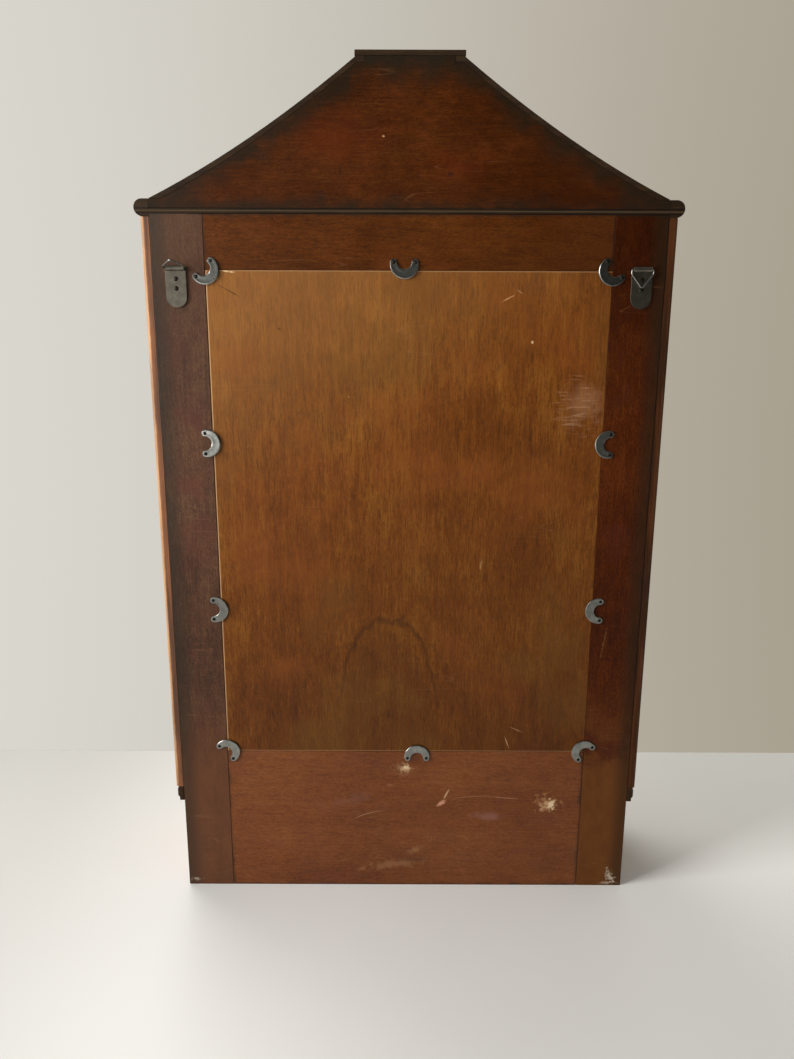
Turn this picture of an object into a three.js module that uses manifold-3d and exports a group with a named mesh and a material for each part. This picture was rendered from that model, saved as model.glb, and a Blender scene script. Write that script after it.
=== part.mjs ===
// Jewelry armoire: a shallow standing or wall-hung cabinet with a pagoda roof, a mirrored door,
// a drawer below it, and a framed back whose plywood panel is held by crescent clips.
// Millimetres. +Z is up, the front faces -Y, left is -X, and the origin is the centre of the underside.
import * as THREE from "three";
import { mergeVertices } from "three/addons/utils/BufferGeometryUtils.js";
import Module from "manifold-3d";

// ---------------------------------------------------------------- driving dimensions
const GAP = 0.3; // clearance between pieces that touch

// Back frame: two stiles, two rails, and a rebate that holds the panel
const BACK_Y = 69;
const FRAME_HALF = 250;
const FRAME_THICKNESS = 16;
const FRAME_TOP = 733;
const OPENING_HALF = 198.7;
const OPENING_BOTTOM = 169.3;
const OPENING_TOP = 681.5;
const LIP_WIDTH = 8;
const LIP_THICKNESS = 4;
const PANEL_THICKNESS = 4.4;
const PANEL_RECESS = 0.4;

// Upper case
const CASE_FRONT_Y = -61;
const SIDE_THICKNESS = 8.7;
const DECK_BOTTOM = 108;
const DECK_TOP = 124;

// Lower case, which holds the drawer
const LOWER_FRONT_Y = -69;
const LOWER_SIDE_THICKNESS = 8.4;
const BASE_THICKNESS = 8;
const WAIST_TOP = 125;
const WAIST_PROUD = 6.8;

// Cornice board with a bullnose on three edges
const CORNICE_BOTTOM = 730.6;
const CORNICE_THICKNESS = 16;
const CORNICE_HALF = 264.2;
const CORNICE_FRONT_Y = -94;
const CORNICE_TONGUE_TOP = 738;

// Pagoda roof: a flat top and slopes that sag below a straight line
const ROOF_TOP_HALF = 50;
const ROOF_TOP_Z = 870.4;
const ROOF_LANDING = 8;
const EAVE_HALF = 251;
const EAVE_Z = 746;
const ROOF_SAG = 7.5;
const ROOF_SKIN = 5.5; // measured straight down
const ROOF_STEPS = 12;
const ROOF_FRONT_EAVE_Y = -81;
const ROOF_FRONT_TOP_Y = 4;
const PEDIMENT_THICKNESS = 8;
const CAP_HALF = 51.5;
const CAP_THICKNESS = 4.9;

// Crescent clips
const CLIP_RADIUS = 14;
const CLIP_TIP_RADIUS = 3.4;
const CLIP_TIP_BACK = 1.5;
const CLIP_BELLY = 9;
const CLIP_THICKNESS = 1.3;
const CLIP_HOLE_RADIUS = 1.2;
const CLIP_OFFSET = 6; // centre of the clip's circle, outside the panel's edge
const CLIP_UPPER_Z = 512.5;
const CLIP_LOWER_Z = 334.7;
const CLIP_TOP_X = 4.3;
const CLIP_BOTTOM_X = -12.3;

// Strap hangers and their rings
const HANGER_X = 226.9;
const HANGER_WIDTH = 20;
const HANGER_THICKNESS = 1.4;
const HANGER_BOTTOM = 646;
const HANGER_AXIS_Z = 682.9;
const HANGER_AXIS_Y = BACK_Y + 3;
const HANGER_ROLL_RADIUS = 2.6;
const HANGER_ROLL_BORE = 1.6;
const HANGER_ROLL_LENGTH = 18;
const HANGER_HOLES_Z = [664, 673];
const RING_WIRE = 1.8;
const RING_HALF = 11.4;
const RING_SHOULDER = 4.6;
const RING_HEIGHT = 18.6;
const RING_RIGHT_LEAN = THREE.MathUtils.degToRad(70); // from straight up, away from the back

// Door
const DOOR_BACK_Y = CASE_FRONT_Y - 3.2;
const DOOR_THICKNESS = 16;
const DOOR_HALF = 258.7;
const DOOR_BOTTOM = 126.5;
const DOOR_TOP = 729.2;
const DOOR_MEMBER = 48;
const DOOR_LIP = 5;
const MIRROR_THICKNESS = 3;
const BACKING_THICKNESS = 3;

// Door hinges
const HINGE_X = -262.2;
const HINGE_Y = CASE_FRONT_Y - 1.6;
const HINGE_HEIGHT = 40;
const HINGE_KNUCKLE_RADIUS = 2.6;
const HINGE_BORE = 1.5;
const HINGE_PIN_RADIUS = 1.2;
const HINGE_LEAF = 1.1;
const HINGE_UPPER_Z = 640;
const HINGE_LOWER_Z = 220;

// Drawer
const DRAWER_REVEAL = 1;
const DRAWER_FRONT_THICKNESS = 12;
const DRAWER_WALL = 8;
const DRAWER_WALL_TOP = 90;
const DRAWER_BACK_Y = 44;
const DRAWER_BOTTOM_THICKNESS = 4;
const CUSHION_TOP = 46;

// Inside fittings
const SHELF_Z = 262;
const SHELF_THICKNESS = 8;
const HOOK_COUNT = 4;
const HOOK_SPACING = 90;
const HOOK_Z = 704;

// ---------------------------------------------------------------- worked out from them
const FRAME_FRONT_Y = BACK_Y - FRAME_THICKNESS;
const SIDE_INNER = FRAME_HALF + GAP;
const SIDE_OUTER = SIDE_INNER + SIDE_THICKNESS;
const CORNICE_TOP = CORNICE_BOTTOM + CORNICE_THICKNESS;
const ROOF_FRONT_SCALE = (ROOF_FRONT_TOP_Y - ROOF_FRONT_EAVE_Y) / (EAVE_HALF - ROOF_TOP_HALF);
const DOOR_FRONT_Y = DOOR_BACK_Y - DOOR_THICKNESS;

// ---------------------------------------------------------------- materials
const finish = (color, roughness, metalness = 0) =>
  new THREE.MeshStandardMaterial({ color, roughness, metalness });
const FRAME_WOOD = finish(0x5a3420, 0.6);
const PLYWOOD = finish(0x8a5a2c, 0.65);
const CASE_WOOD = finish(0x7a4a28, 0.4);
const INNER_WOOD = finish(0x94683e, 0.6);
const STEEL = finish(0x6f7275, 0.45, 0.9);
const BRASS = finish(0xb08d4a, 0.35, 0.9);
const MIRROR = finish(0xd8dde0, 0.05, 1);
const VELVET = finish(0x5c1420, 0.95);

// ---------------------------------------------------------------- solids
const wasm = await Module();
wasm.setup();

function toSolid(geometry) {
  const bare = geometry.index ? geometry.toNonIndexed() : geometry.clone();
  bare.deleteAttribute("normal");
  bare.deleteAttribute("uv");
  const merged = mergeVertices(bare, 1e-4);
  const vertProperties = merged.attributes.position.array;
  const triVerts = new Uint32Array(merged.index.array);
  return new wasm.Manifold(new wasm.Mesh({ numProp: 3, vertProperties, triVerts }));
}

function toGeometry(solid) {
  const { vertProperties, triVerts } = solid.getMesh();
  const geometry = new THREE.BufferGeometry();
  geometry.setAttribute("position", new THREE.BufferAttribute(vertProperties, 3));
  geometry.setIndex(new THREE.BufferAttribute(triVerts, 1));
  return geometry;
}

function join(...geometries) {
  return toGeometry(geometries.map(toSolid).reduce((whole, piece) => whole.add(piece)));
}

function cut(geometry, ...tools) {
  return toGeometry(tools.map(toSolid).reduce((whole, tool) => whole.subtract(tool), toSolid(geometry)));
}

// A box between two corners.
function block([x0, x1], [y0, y1], [z0, z1]) {
  const box = new THREE.BoxGeometry(x1 - x0, y1 - y0, z1 - z0);
  return box.translate((x0 + x1) / 2, (y0 + y1) / 2, (z0 + z1) / 2);
}

const X_AXIS = new THREE.Vector3(1, 0, 0);
const Y_AXIS = new THREE.Vector3(0, 1, 0);
const Z_AXIS = new THREE.Vector3(0, 0, 1);

function extruded(shape, depth, curveSegments) {
  return new THREE.ExtrudeGeometry(shape, { depth, bevelEnabled: false, curveSegments });
}

// A shape drawn in (x, z), extruded from y0 to y1.
function extrudeAlongY(shape, [y0, y1], curveSegments = 8) {
  const turn = new THREE.Matrix4().makeBasis(X_AXIS, Z_AXIS, Y_AXIS.clone().negate());
  return extruded(shape, y1 - y0, curveSegments).applyMatrix4(turn).translate(0, y1, 0);
}

// A shape drawn in (y, z), extruded from x0 to x1.
function extrudeAlongX(shape, [x0, x1], curveSegments = 8) {
  const turn = new THREE.Matrix4().makeBasis(Y_AXIS, Z_AXIS, X_AXIS);
  return extruded(shape, x1 - x0, curveSegments).applyMatrix4(turn).translate(x0, 0, 0);
}

// A shape drawn in (x, y), extruded from z0 to z1.
function extrudeAlongZ(shape, [z0, z1], curveSegments = 8) {
  return extruded(shape, z1 - z0, curveSegments).translate(0, 0, z0);
}

function outline(points) {
  return new THREE.Shape(points.map(([u, v]) => new THREE.Vector2(u, v)));
}

const mirrored = ([x0, x1]) => [-x1, -x0];
const SIDES = { left: -1, right: 1 };

const armoire = new THREE.Group();

function place(name, material, geometry, parent = armoire) {
  const mesh = new THREE.Mesh(geometry, material);
  mesh.name = name;
  parent.add(mesh);
  return mesh;
}

// The same range of x on the given side: sign -1 mirrors it to the left.
function onSide(sign, range) {
  return sign < 0 ? mirrored(range) : range;
}

// ---------------------------------------------------------------- back frame
function backFrame() {
  const frameY = [FRAME_FRONT_Y, BACK_Y];
  const lipY = [FRAME_FRONT_Y, FRAME_FRONT_Y + LIP_THICKNESS];
  const lipInner = OPENING_HALF - LIP_WIDTH;
  for (const [side, sign] of Object.entries(SIDES)) {
    const stile = block(onSide(sign, [OPENING_HALF, FRAME_HALF]), frameY, [0, FRAME_TOP]);
    const lip = block(onSide(sign, [lipInner, OPENING_HALF + 1]), lipY, [OPENING_BOTTOM, OPENING_TOP]);
    place(`back_stile_${side}`, FRAME_WOOD, join(stile, lip));
  }
  const railX = [-OPENING_HALF + GAP, OPENING_HALF - GAP];
  const railLipX = [-lipInner + GAP, lipInner - GAP];
  const bottomRail = block(railX, frameY, [0, OPENING_BOTTOM - GAP]);
  const bottomLip = block(railLipX, lipY, [OPENING_BOTTOM - 1, OPENING_BOTTOM + LIP_WIDTH]);
  place("back_bottom_rail", FRAME_WOOD, join(bottomRail, bottomLip));
  const topRail = block(railX, frameY, [OPENING_TOP + GAP, FRAME_TOP]);
  const topLip = block(railLipX, lipY, [OPENING_TOP - LIP_WIDTH, OPENING_TOP + 1]);
  place("back_top_rail", FRAME_WOOD, join(topRail, topLip));

  const panelX = [-OPENING_HALF + GAP, OPENING_HALF - GAP];
  const panelZ = [OPENING_BOTTOM, OPENING_TOP];
  const panelBack = BACK_Y - PANEL_RECESS;
  const panelFront = panelBack - PANEL_THICKNESS;
  place("back_panel", PLYWOOD, block(panelX, [panelFront, panelBack], panelZ));
  place("velvet_board", VELVET, block(panelX, [lipY[1] + GAP, panelFront - GAP], panelZ));
}

// A crescent with its belly towards +u and a nail hole in each horn.
function crescentShape() {
  const tipReach = CLIP_RADIUS - CLIP_TIP_RADIUS;
  const tipV = Math.sqrt(tipReach ** 2 - CLIP_TIP_BACK ** 2);
  const bellyInner = CLIP_RADIUS - CLIP_BELLY;
  // The inner arc passes through the belly's inner point and touches both tip circles.
  const reach = bellyInner + CLIP_TIP_RADIUS;
  const innerCentre = (reach ** 2 - CLIP_TIP_BACK ** 2 - tipV ** 2) / (2 * (reach + CLIP_TIP_BACK));
  const innerRadius = bellyInner - innerCentre;
  const outerEnd = Math.atan2(tipV, -CLIP_TIP_BACK);
  const innerEnd = Math.atan2(tipV, -CLIP_TIP_BACK - innerCentre);
  const shape = new THREE.Shape();
  shape.absarc(0, 0, CLIP_RADIUS, -outerEnd, outerEnd, false);
  shape.absarc(-CLIP_TIP_BACK, tipV, CLIP_TIP_RADIUS, outerEnd, innerEnd + Math.PI, false);
  shape.absarc(innerCentre, 0, innerRadius, innerEnd, -innerEnd, true);
  shape.absarc(-CLIP_TIP_BACK, -tipV, CLIP_TIP_RADIUS, Math.PI - innerEnd, 2 * Math.PI - outerEnd, false);
  for (const sign of [-1, 1]) {
    const hole = new THREE.Path();
    hole.absarc(-CLIP_TIP_BACK, sign * tipV, CLIP_HOLE_RADIUS, 0, 2 * Math.PI, true);
    shape.holes.push(hole);
  }
  return shape;
}

function clips() {
  const sideX = OPENING_HALF + CLIP_OFFSET;
  const topZ = OPENING_TOP + CLIP_OFFSET;
  const bottomZ = OPENING_BOTTOM - CLIP_OFFSET;
  // Each clip's circle centre and the direction of its belly, in degrees from +X towards +Z.
  const places = {
    top_left: [-OPENING_HALF, OPENING_TOP, -45],
    top_middle: [CLIP_TOP_X, topZ, -90],
    top_right: [OPENING_HALF, OPENING_TOP, -135],
    upper_left: [-sideX, CLIP_UPPER_Z, 0],
    upper_right: [sideX, CLIP_UPPER_Z, 180],
    lower_left: [-sideX, CLIP_LOWER_Z, 0],
    lower_right: [sideX, CLIP_LOWER_Z, 180],
    bottom_left: [-OPENING_HALF, OPENING_BOTTOM, 45],
    bottom_middle: [CLIP_BOTTOM_X, bottomZ, 90],
    bottom_right: [OPENING_HALF, OPENING_BOTTOM, 135],
  };
  for (const [where, [x, z, belly]] of Object.entries(places)) {
    const clip = place(`clip_${where}`, STEEL, extrudeAlongY(crescentShape(), [0, CLIP_THICKNESS], 5));
    clip.position.set(x, BACK_Y + GAP, z);
    clip.rotation.y = -THREE.MathUtils.degToRad(belly);
  }
}

// ---------------------------------------------------------------- strap hangers
function hangerPlate() {
  const half = HANGER_WIDTH / 2;
  const bottomCentre = HANGER_BOTTOM + half - HANGER_AXIS_Z;
  const strap = new THREE.Shape();
  strap.moveTo(half, 0);
  strap.lineTo(-half, 0);
  strap.absarc(0, bottomCentre, half, Math.PI, 2 * Math.PI, false);
  for (const z of HANGER_HOLES_Z) {
    const hole = new THREE.Path();
    hole.absarc(0, z - HANGER_AXIS_Z, 1.6, 0, 2 * Math.PI, true);
    strap.holes.push(hole);
  }
  const back = BACK_Y + GAP - HANGER_AXIS_Y;
  const plate = extrudeAlongY(strap, [back, back + HANGER_THICKNESS], 6);
  const roll = new THREE.Shape();
  roll.absarc(0, 0, HANGER_ROLL_RADIUS, 0, 2 * Math.PI, false);
  const bore = new THREE.Shape();
  bore.absarc(0, 0, HANGER_ROLL_BORE, 0, 2 * Math.PI, false);
  const rollX = [-HANGER_ROLL_LENGTH / 2, HANGER_ROLL_LENGTH / 2];
  return cut(join(plate, extrudeAlongX(roll, rollX, 8)), extrudeAlongX(bore, [-half - 1, half + 1], 6));
}

// A five-sided wire ring in (x, z), whose straight foot turns inside the plate's roll.
function ringShape() {
  const inner = RING_HALF - RING_WIRE;
  const foot = RING_WIRE / 2;
  const shape = outline([
    [-RING_HALF, -foot],
    [RING_HALF, -foot],
    [RING_HALF, RING_SHOULDER],
    [foot, RING_HEIGHT],
    [-foot, RING_HEIGHT],
    [-RING_HALF, RING_SHOULDER],
  ]);
  const window = [
    [-inner, foot],
    [-inner, RING_SHOULDER - foot],
    [0, RING_HEIGHT - 2 * RING_WIRE],
    [inner, RING_SHOULDER - foot],
    [inner, foot],
  ];
  shape.holes.push(new THREE.Path(window.map(([u, v]) => new THREE.Vector2(u, v))));
  return shape;
}

function hangers() {
  for (const [side, sign] of Object.entries(SIDES)) {
    const hanger = new THREE.Group();
    hanger.position.set(sign * HANGER_X, HANGER_AXIS_Y, HANGER_AXIS_Z);
    armoire.add(hanger);
    place(`hanger_plate_${side}`, STEEL, hangerPlate(), hanger);
    const wire = [-RING_WIRE / 2, RING_WIRE / 2];
    const ring = place(`hanger_ring_${side}`, STEEL, extrudeAlongY(ringShape(), wire), hanger);
    // The left ring hangs down over its plate; the right one stands out and upwards.
    ring.rotation.x = side === "left" ? Math.PI : -RING_RIGHT_LEAN;
  }
}

// ---------------------------------------------------------------- roof
// Height of the roof's outer surface at a distance from the middle.
function roofHeight(x) {
  const along = (x - ROOF_TOP_HALF) / (EAVE_HALF - ROOF_TOP_HALF);
  const straight = ROOF_TOP_Z + (EAVE_Z - ROOF_TOP_Z) * along;
  return straight - 4 * ROOF_SAG * along * (1 - along);
}

// Distance from the middle at which the roof's outer surface has a height.
function roofReach(z) {
  const a = 4 * ROOF_SAG;
  const b = EAVE_Z - ROOF_TOP_Z - a;
  const c = ROOF_TOP_Z - z;
  const along = (-b - Math.sqrt(b * b - 4 * a * c)) / (2 * a);
  return ROOF_TOP_HALF + (EAVE_HALF - ROOF_TOP_HALF) * along;
}

// Points of the slope from the top to the eave, lowered by a distance.
function slope(lowered) {
  const points = [];
  for (let i = 0; i <= ROOF_STEPS; i += 1) {
    const x = ROOF_TOP_HALF + ((EAVE_HALF - ROOF_TOP_HALF) * i) / ROOF_STEPS;
    points.push([x, roofHeight(x) - lowered]);
  }
  return points;
}

// The skin's section from its landing under the cap to its foot on the cornice.
function skinSection(toPlane) {
  const landing = ROOF_TOP_HALF - ROOF_LANDING;
  const upper = [[landing, ROOF_TOP_Z], ...slope(0)];
  const lower = [[landing, ROOF_TOP_Z - ROOF_SKIN], ...slope(ROOF_SKIN)];
  return [...upper, ...lower.reverse()].map(toPlane);
}

// Plan outline of what lies in front of the hips: hips run straight from cap to eave corners.
function frontOfHips(shift) {
  const frontY = (x) => ROOF_FRONT_TOP_Y - ROOF_FRONT_SCALE * (x - ROOF_TOP_HALF) + shift;
  const far = EAVE_HALF + 60;
  return outline([
    [-far, frontY(far)],
    [0, frontY(0)],
    [far, frontY(far)],
    [far, frontY(far) - 200],
    [-far, frontY(far) - 200],
  ]);
}

function roof() {
  const tall = [EAVE_Z - 100, ROOF_TOP_Z + 100];
  const below = block([-400, 400], [-400, 400], [EAVE_Z - 100, CORNICE_TOP + GAP]);
  for (const [side, sign] of Object.entries(SIDES)) {
    const section = outline(skinSection(([u, v]) => [sign * u, v]));
    const whole = extrudeAlongY(section, [ROOF_FRONT_EAVE_Y - 20, BACK_Y]);
    const inFront = extrudeAlongZ(frontOfHips(GAP / 2), tall);
    place(`roof_skin_${side}`, CASE_WOOD, cut(whole, inFront, below));
  }
  const toFront = ([u, v]) => [ROOF_FRONT_TOP_Y - ROOF_FRONT_SCALE * (u - ROOF_TOP_HALF), v];
  const frontWhole = extrudeAlongX(outline(skinSection(toFront)), [-EAVE_HALF - 20, EAVE_HALF + 20]);
  const inFront = toSolid(extrudeAlongZ(frontOfHips(-GAP / 2), tall));
  const frontSkin = toSolid(frontWhole).intersect(inFront).subtract(toSolid(below));
  place("roof_skin_front", CASE_WOOD, toGeometry(frontSkin));

  const capZ = [ROOF_TOP_Z + GAP, ROOF_TOP_Z + GAP + CAP_THICKNESS];
  place("roof_cap", CASE_WOOD, block([-CAP_HALF, CAP_HALF], [ROOF_FRONT_TOP_Y - 2, BACK_Y], capZ));

  const pedimentHalf = FRAME_HALF - GAP;
  const lowered = ROOF_SKIN + GAP;
  const landing = ROOF_TOP_HALF - ROOF_LANDING - GAP;
  const halfOutline = [
    [landing, ROOF_TOP_Z],
    [landing, ROOF_TOP_Z - lowered],
    ...slope(lowered).filter(([, z]) => z > CORNICE_TOP),
    [roofReach(CORNICE_TOP + lowered), CORNICE_TOP],
    [pedimentHalf, CORNICE_TOP],
    [pedimentHalf, CORNICE_TONGUE_TOP + GAP],
  ];
  const otherHalf = halfOutline.map(([x, z]) => [-x, z]).reverse();
  const pediment = outline([...halfOutline, ...otherHalf]);
  place("pediment_board", FRAME_WOOD, extrudeAlongY(pediment, [BACK_Y - PEDIMENT_THICKNESS, BACK_Y]));
}

function cornice() {
  const radius = CORNICE_THICKNESS / 2;
  const middle = CORNICE_BOTTOM + radius;
  const ends = new THREE.Shape();
  ends.absarc(CORNICE_HALF - radius, middle, radius, -Math.PI / 2, Math.PI / 2, false);
  ends.absarc(-CORNICE_HALF + radius, middle, radius, Math.PI / 2, 1.5 * Math.PI, false);
  const front = new THREE.Shape();
  front.moveTo(BACK_Y, CORNICE_TOP);
  front.lineTo(CORNICE_FRONT_Y + radius, CORNICE_TOP);
  front.absarc(CORNICE_FRONT_Y + radius, middle, radius, Math.PI / 2, 1.5 * Math.PI, false);
  front.lineTo(BACK_Y, CORNICE_BOTTOM);
  const long = toSolid(extrudeAlongY(ends, [CORNICE_FRONT_Y - 1, BACK_Y], 10));
  const deep = toSolid(extrudeAlongX(front, [-CORNICE_HALF - 1, CORNICE_HALF + 1], 10));
  const across = [-FRAME_HALF, FRAME_HALF];
  const overFrame = block(across, [FRAME_FRONT_Y - GAP, BACK_Y + 1], [CORNICE_BOTTOM - 1, FRAME_TOP + GAP]);
  const pedimentY = [BACK_Y - PEDIMENT_THICKNESS - GAP, BACK_Y + 1];
  const underPediment = block(across, pedimentY, [CORNICE_TONGUE_TOP, CORNICE_TOP + 1]);
  place("cornice", CASE_WOOD, cut(toGeometry(long.intersect(deep)), overFrame, underPediment));
}

// ---------------------------------------------------------------- case
// A side board with its outer rear corner rounded over.
function sideBoard(sign) {
  const round = 4;
  const shape = new THREE.Shape();
  shape.moveTo(SIDE_INNER, CASE_FRONT_Y);
  shape.lineTo(SIDE_OUTER, CASE_FRONT_Y);
  shape.absarc(SIDE_OUTER - round, BACK_Y - round, round, 0, Math.PI / 2, false);
  shape.lineTo(SIDE_INNER, BACK_Y);
  const section = outline(shape.getPoints(5).map(({ x, y }) => [sign * x, y]));
  return extrudeAlongZ(section, [WAIST_TOP + GAP, CORNICE_BOTTOM - GAP]);
}

// The waist moulding's section as (distance from the case, height).
function waistSection(proud) {
  const step = proud - 1.8;
  return [
    [0, DECK_BOTTOM],
    [step, DECK_BOTTOM],
    [step, DECK_BOTTOM + 4],
    [proud, DECK_BOTTOM + 6],
    [proud, WAIST_TOP - 3],
    [proud - 1, WAIST_TOP],
    [0, WAIST_TOP],
  ];
}

function waistMouldings() {
  const caseX = FRAME_HALF + GAP;
  const caseY = LOWER_FRONT_Y - GAP;
  const tall = [DECK_BOTTOM - 5, WAIST_TOP + 5];
  // Mitre planes run at 45 degrees out from the case's front corners.
  const infront = (shift) =>
    outline([
      [-caseX - 60, caseY - 60 + shift],
      [-caseX + 60, caseY + 60 + shift],
      [caseX - 60, caseY + 60 + shift],
      [caseX + 60, caseY - 60 + shift],
    ]);
  for (const [side, sign] of Object.entries(SIDES)) {
    const section = outline(waistSection(WAIST_PROUD).map(([u, v]) => [sign * (caseX + u), v]));
    const strip = extrudeAlongY(section, [caseY - WAIST_PROUD - 5, BACK_Y]);
    place(`waist_moulding_${side}`, CASE_WOOD, cut(strip, extrudeAlongZ(infront(GAP / 2), tall)));
  }
  const section = outline(waistSection(WAIST_PROUD).map(([u, v]) => [caseY - u, v]));
  const reach = caseX + WAIST_PROUD + 5;
  const strip = toSolid(extrudeAlongX(section, [-reach, reach]));
  const between = toSolid(extrudeAlongZ(infront(-GAP / 2), tall));
  place("waist_moulding_front", CASE_WOOD, toGeometry(strip.intersect(between)));
}

function upperAndLowerCase() {
  const boardBackY = FRAME_FRONT_Y - GAP;
  const lowerY = [LOWER_FRONT_Y, boardBackY];
  for (const [side, sign] of Object.entries(SIDES)) {
    place(`side_board_${side}`, CASE_WOOD, sideBoard(sign));
    const lowerX = onSide(sign, [FRAME_HALF - LOWER_SIDE_THICKNESS, FRAME_HALF]);
    const lowerZ = [BASE_THICKNESS + GAP, DECK_BOTTOM - GAP];
    place(`lower_side_${side}`, CASE_WOOD, block(lowerX, lowerY, lowerZ));
  }
  const across = [-FRAME_HALF, FRAME_HALF];
  place("base_board", CASE_WOOD, block(across, lowerY, [0, BASE_THICKNESS]));
  place("deck_board", INNER_WOOD, block(across, lowerY, [DECK_BOTTOM, DECK_TOP]));
}

// ---------------------------------------------------------------- fittings inside the case
function turned(profile, segments) {
  const points = profile.map(([r, along]) => new THREE.Vector2(r, along));
  return new THREE.LatheGeometry(points, segments);
}

function insideFittings() {
  const shelfX = [-FRAME_HALF, FRAME_HALF];
  place("shelf", INNER_WOOD, block(shelfX, [CASE_FRONT_Y + 8, 45], [SHELF_Z, SHELF_Z + SHELF_THICKNESS]));

  const railY = [FRAME_FRONT_Y - GAP - 10, FRAME_FRONT_Y - GAP];
  place("hook_rail", INNER_WOOD, block([-180, 180], railY, [HOOK_Z - 11, HOOK_Z + 11]));
  const peg = [
    [0, 0],
    [2.2, 0],
    [2.2, 16],
    [4, 18],
    [4.2, 20.5],
    [2.5, 23],
    [0, 23.6],
  ];
  for (let i = 0; i < HOOK_COUNT; i += 1) {
    const hook = place(`hook_${i + 1}`, BRASS, turned(peg, 10));
    hook.position.set((i - (HOOK_COUNT - 1) / 2) * HOOK_SPACING, railY[0] - GAP, HOOK_Z);
    hook.rotation.x = Math.PI;
  }

  const magnetX = [FRAME_HALF - 12, FRAME_HALF];
  place("catch_magnet", STEEL, block(magnetX, [CASE_FRONT_Y + 0.5, CASE_FRONT_Y + 14], [415, 445]));
}

// ---------------------------------------------------------------- door
const KNOB = [
  [0, 0],
  [7, 0],
  [7, 2],
  [3.2, 3.5],
  [3.2, 9],
  [6, 11],
  [9, 15],
  [8.5, 19],
  [5, 22],
  [0, 23],
];

function knob(name, x, y, z) {
  const mesh = place(name, BRASS, turned(KNOB, 16));
  mesh.position.set(x, y - GAP, z);
  mesh.rotation.x = Math.PI;
}

function door() {
  const doorY = [DOOR_FRONT_Y, DOOR_BACK_Y];
  const lipY = [DOOR_FRONT_Y, DOOR_FRONT_Y + DOOR_LIP];
  const openHalf = DOOR_HALF - DOOR_MEMBER;
  const openBottom = DOOR_BOTTOM + DOOR_MEMBER;
  const openTop = DOOR_TOP - DOOR_MEMBER;
  const lipHalf = openHalf - LIP_WIDTH;
  for (const [side, sign] of Object.entries(SIDES)) {
    const stile = block(onSide(sign, [openHalf, DOOR_HALF]), doorY, [DOOR_BOTTOM, DOOR_TOP]);
    const lip = block(onSide(sign, [lipHalf, openHalf + 1]), lipY, [openBottom, openTop]);
    place(`door_stile_${side}`, CASE_WOOD, join(stile, lip));
  }
  const railX = [-openHalf + GAP, openHalf - GAP];
  const railLipX = [-lipHalf + GAP, lipHalf - GAP];
  const bottomRail = block(railX, doorY, [DOOR_BOTTOM, openBottom - GAP]);
  const bottomLip = block(railLipX, lipY, [openBottom - 1, openBottom + LIP_WIDTH]);
  place("door_bottom_rail", CASE_WOOD, join(bottomRail, bottomLip));
  const topRail = block(railX, doorY, [openTop + GAP, DOOR_TOP]);
  const topLip = block(railLipX, lipY, [openTop - LIP_WIDTH, openTop + 1]);
  place("door_top_rail", CASE_WOOD, join(topRail, topLip));

  const glassY = [lipY[1] + GAP, lipY[1] + GAP + MIRROR_THICKNESS];
  const backingY = [glassY[1] + GAP, glassY[1] + GAP + BACKING_THICKNESS];
  const glazingX = [-openHalf + GAP, openHalf - GAP];
  const glazingZ = [openBottom, openTop];
  place("door_mirror", MIRROR, block(glazingX, glassY, glazingZ));
  place("door_backing", VELVET, block(glazingX, backingY, glazingZ));
  knob("door_knob", DOOR_HALF - DOOR_MEMBER / 2, DOOR_FRONT_Y, (DOOR_BOTTOM + DOOR_TOP) / 2);
}

// ---------------------------------------------------------------- hinges
function rod(radius, [z0, z1], segments) {
  const cylinder = new THREE.CylinderGeometry(radius, radius, z1 - z0, segments).rotateX(Math.PI / 2);
  return cylinder.translate(0, 0, (z0 + z1) / 2);
}

// Both leaves are drawn around the pin, with the leaves running towards +X.
function hinges() {
  const leafX = [HINGE_KNUCKLE_RADIUS + 0.4, 11.4];
  const tabX = [0.6, HINGE_KNUCKLE_RADIUS + 1];
  const leafFar = [GAP - 0.1, GAP - 0.1 + HINGE_LEAF];
  const leafNear = mirrored(leafFar);
  const half = HINGE_HEIGHT / 2;
  const middleZ = [-HINGE_HEIGHT / 6, HINGE_HEIGHT / 6];
  const upperZ = [middleZ[1] + GAP, half];
  const lowerZ = mirrored(upperZ);

  const caseKnuckles = [upperZ, lowerZ].map((z) => rod(HINGE_KNUCKLE_RADIUS, z, 14));
  const caseTabs = [upperZ, lowerZ].map((z) => block([HINGE_BORE + 0.4, tabX[1]], leafFar, z));
  const caseWhole = join(block(leafX, leafFar, [-half, half]), ...caseKnuckles, ...caseTabs);
  const caseLeaf = cut(caseWhole, rod(HINGE_BORE, [-half - 1, half + 1], 12));

  const doorPlate = block(leafX, leafNear, [-half, half]);
  const doorTab = block(tabX, leafNear, middleZ);
  const pin = rod(HINGE_PIN_RADIUS, [-half, half], 12);
  const doorLeaf = join(doorPlate, doorTab, rod(HINGE_KNUCKLE_RADIUS, middleZ, 14), pin);

  for (const [where, z] of Object.entries({ upper: HINGE_UPPER_Z, lower: HINGE_LOWER_Z })) {
    const hinge = new THREE.Group();
    hinge.position.set(HINGE_X, HINGE_Y, z);
    armoire.add(hinge);
    place(`hinge_case_leaf_${where}`, BRASS, caseLeaf, hinge);
    place(`hinge_door_leaf_${where}`, BRASS, doorLeaf, hinge);
  }
}

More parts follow.
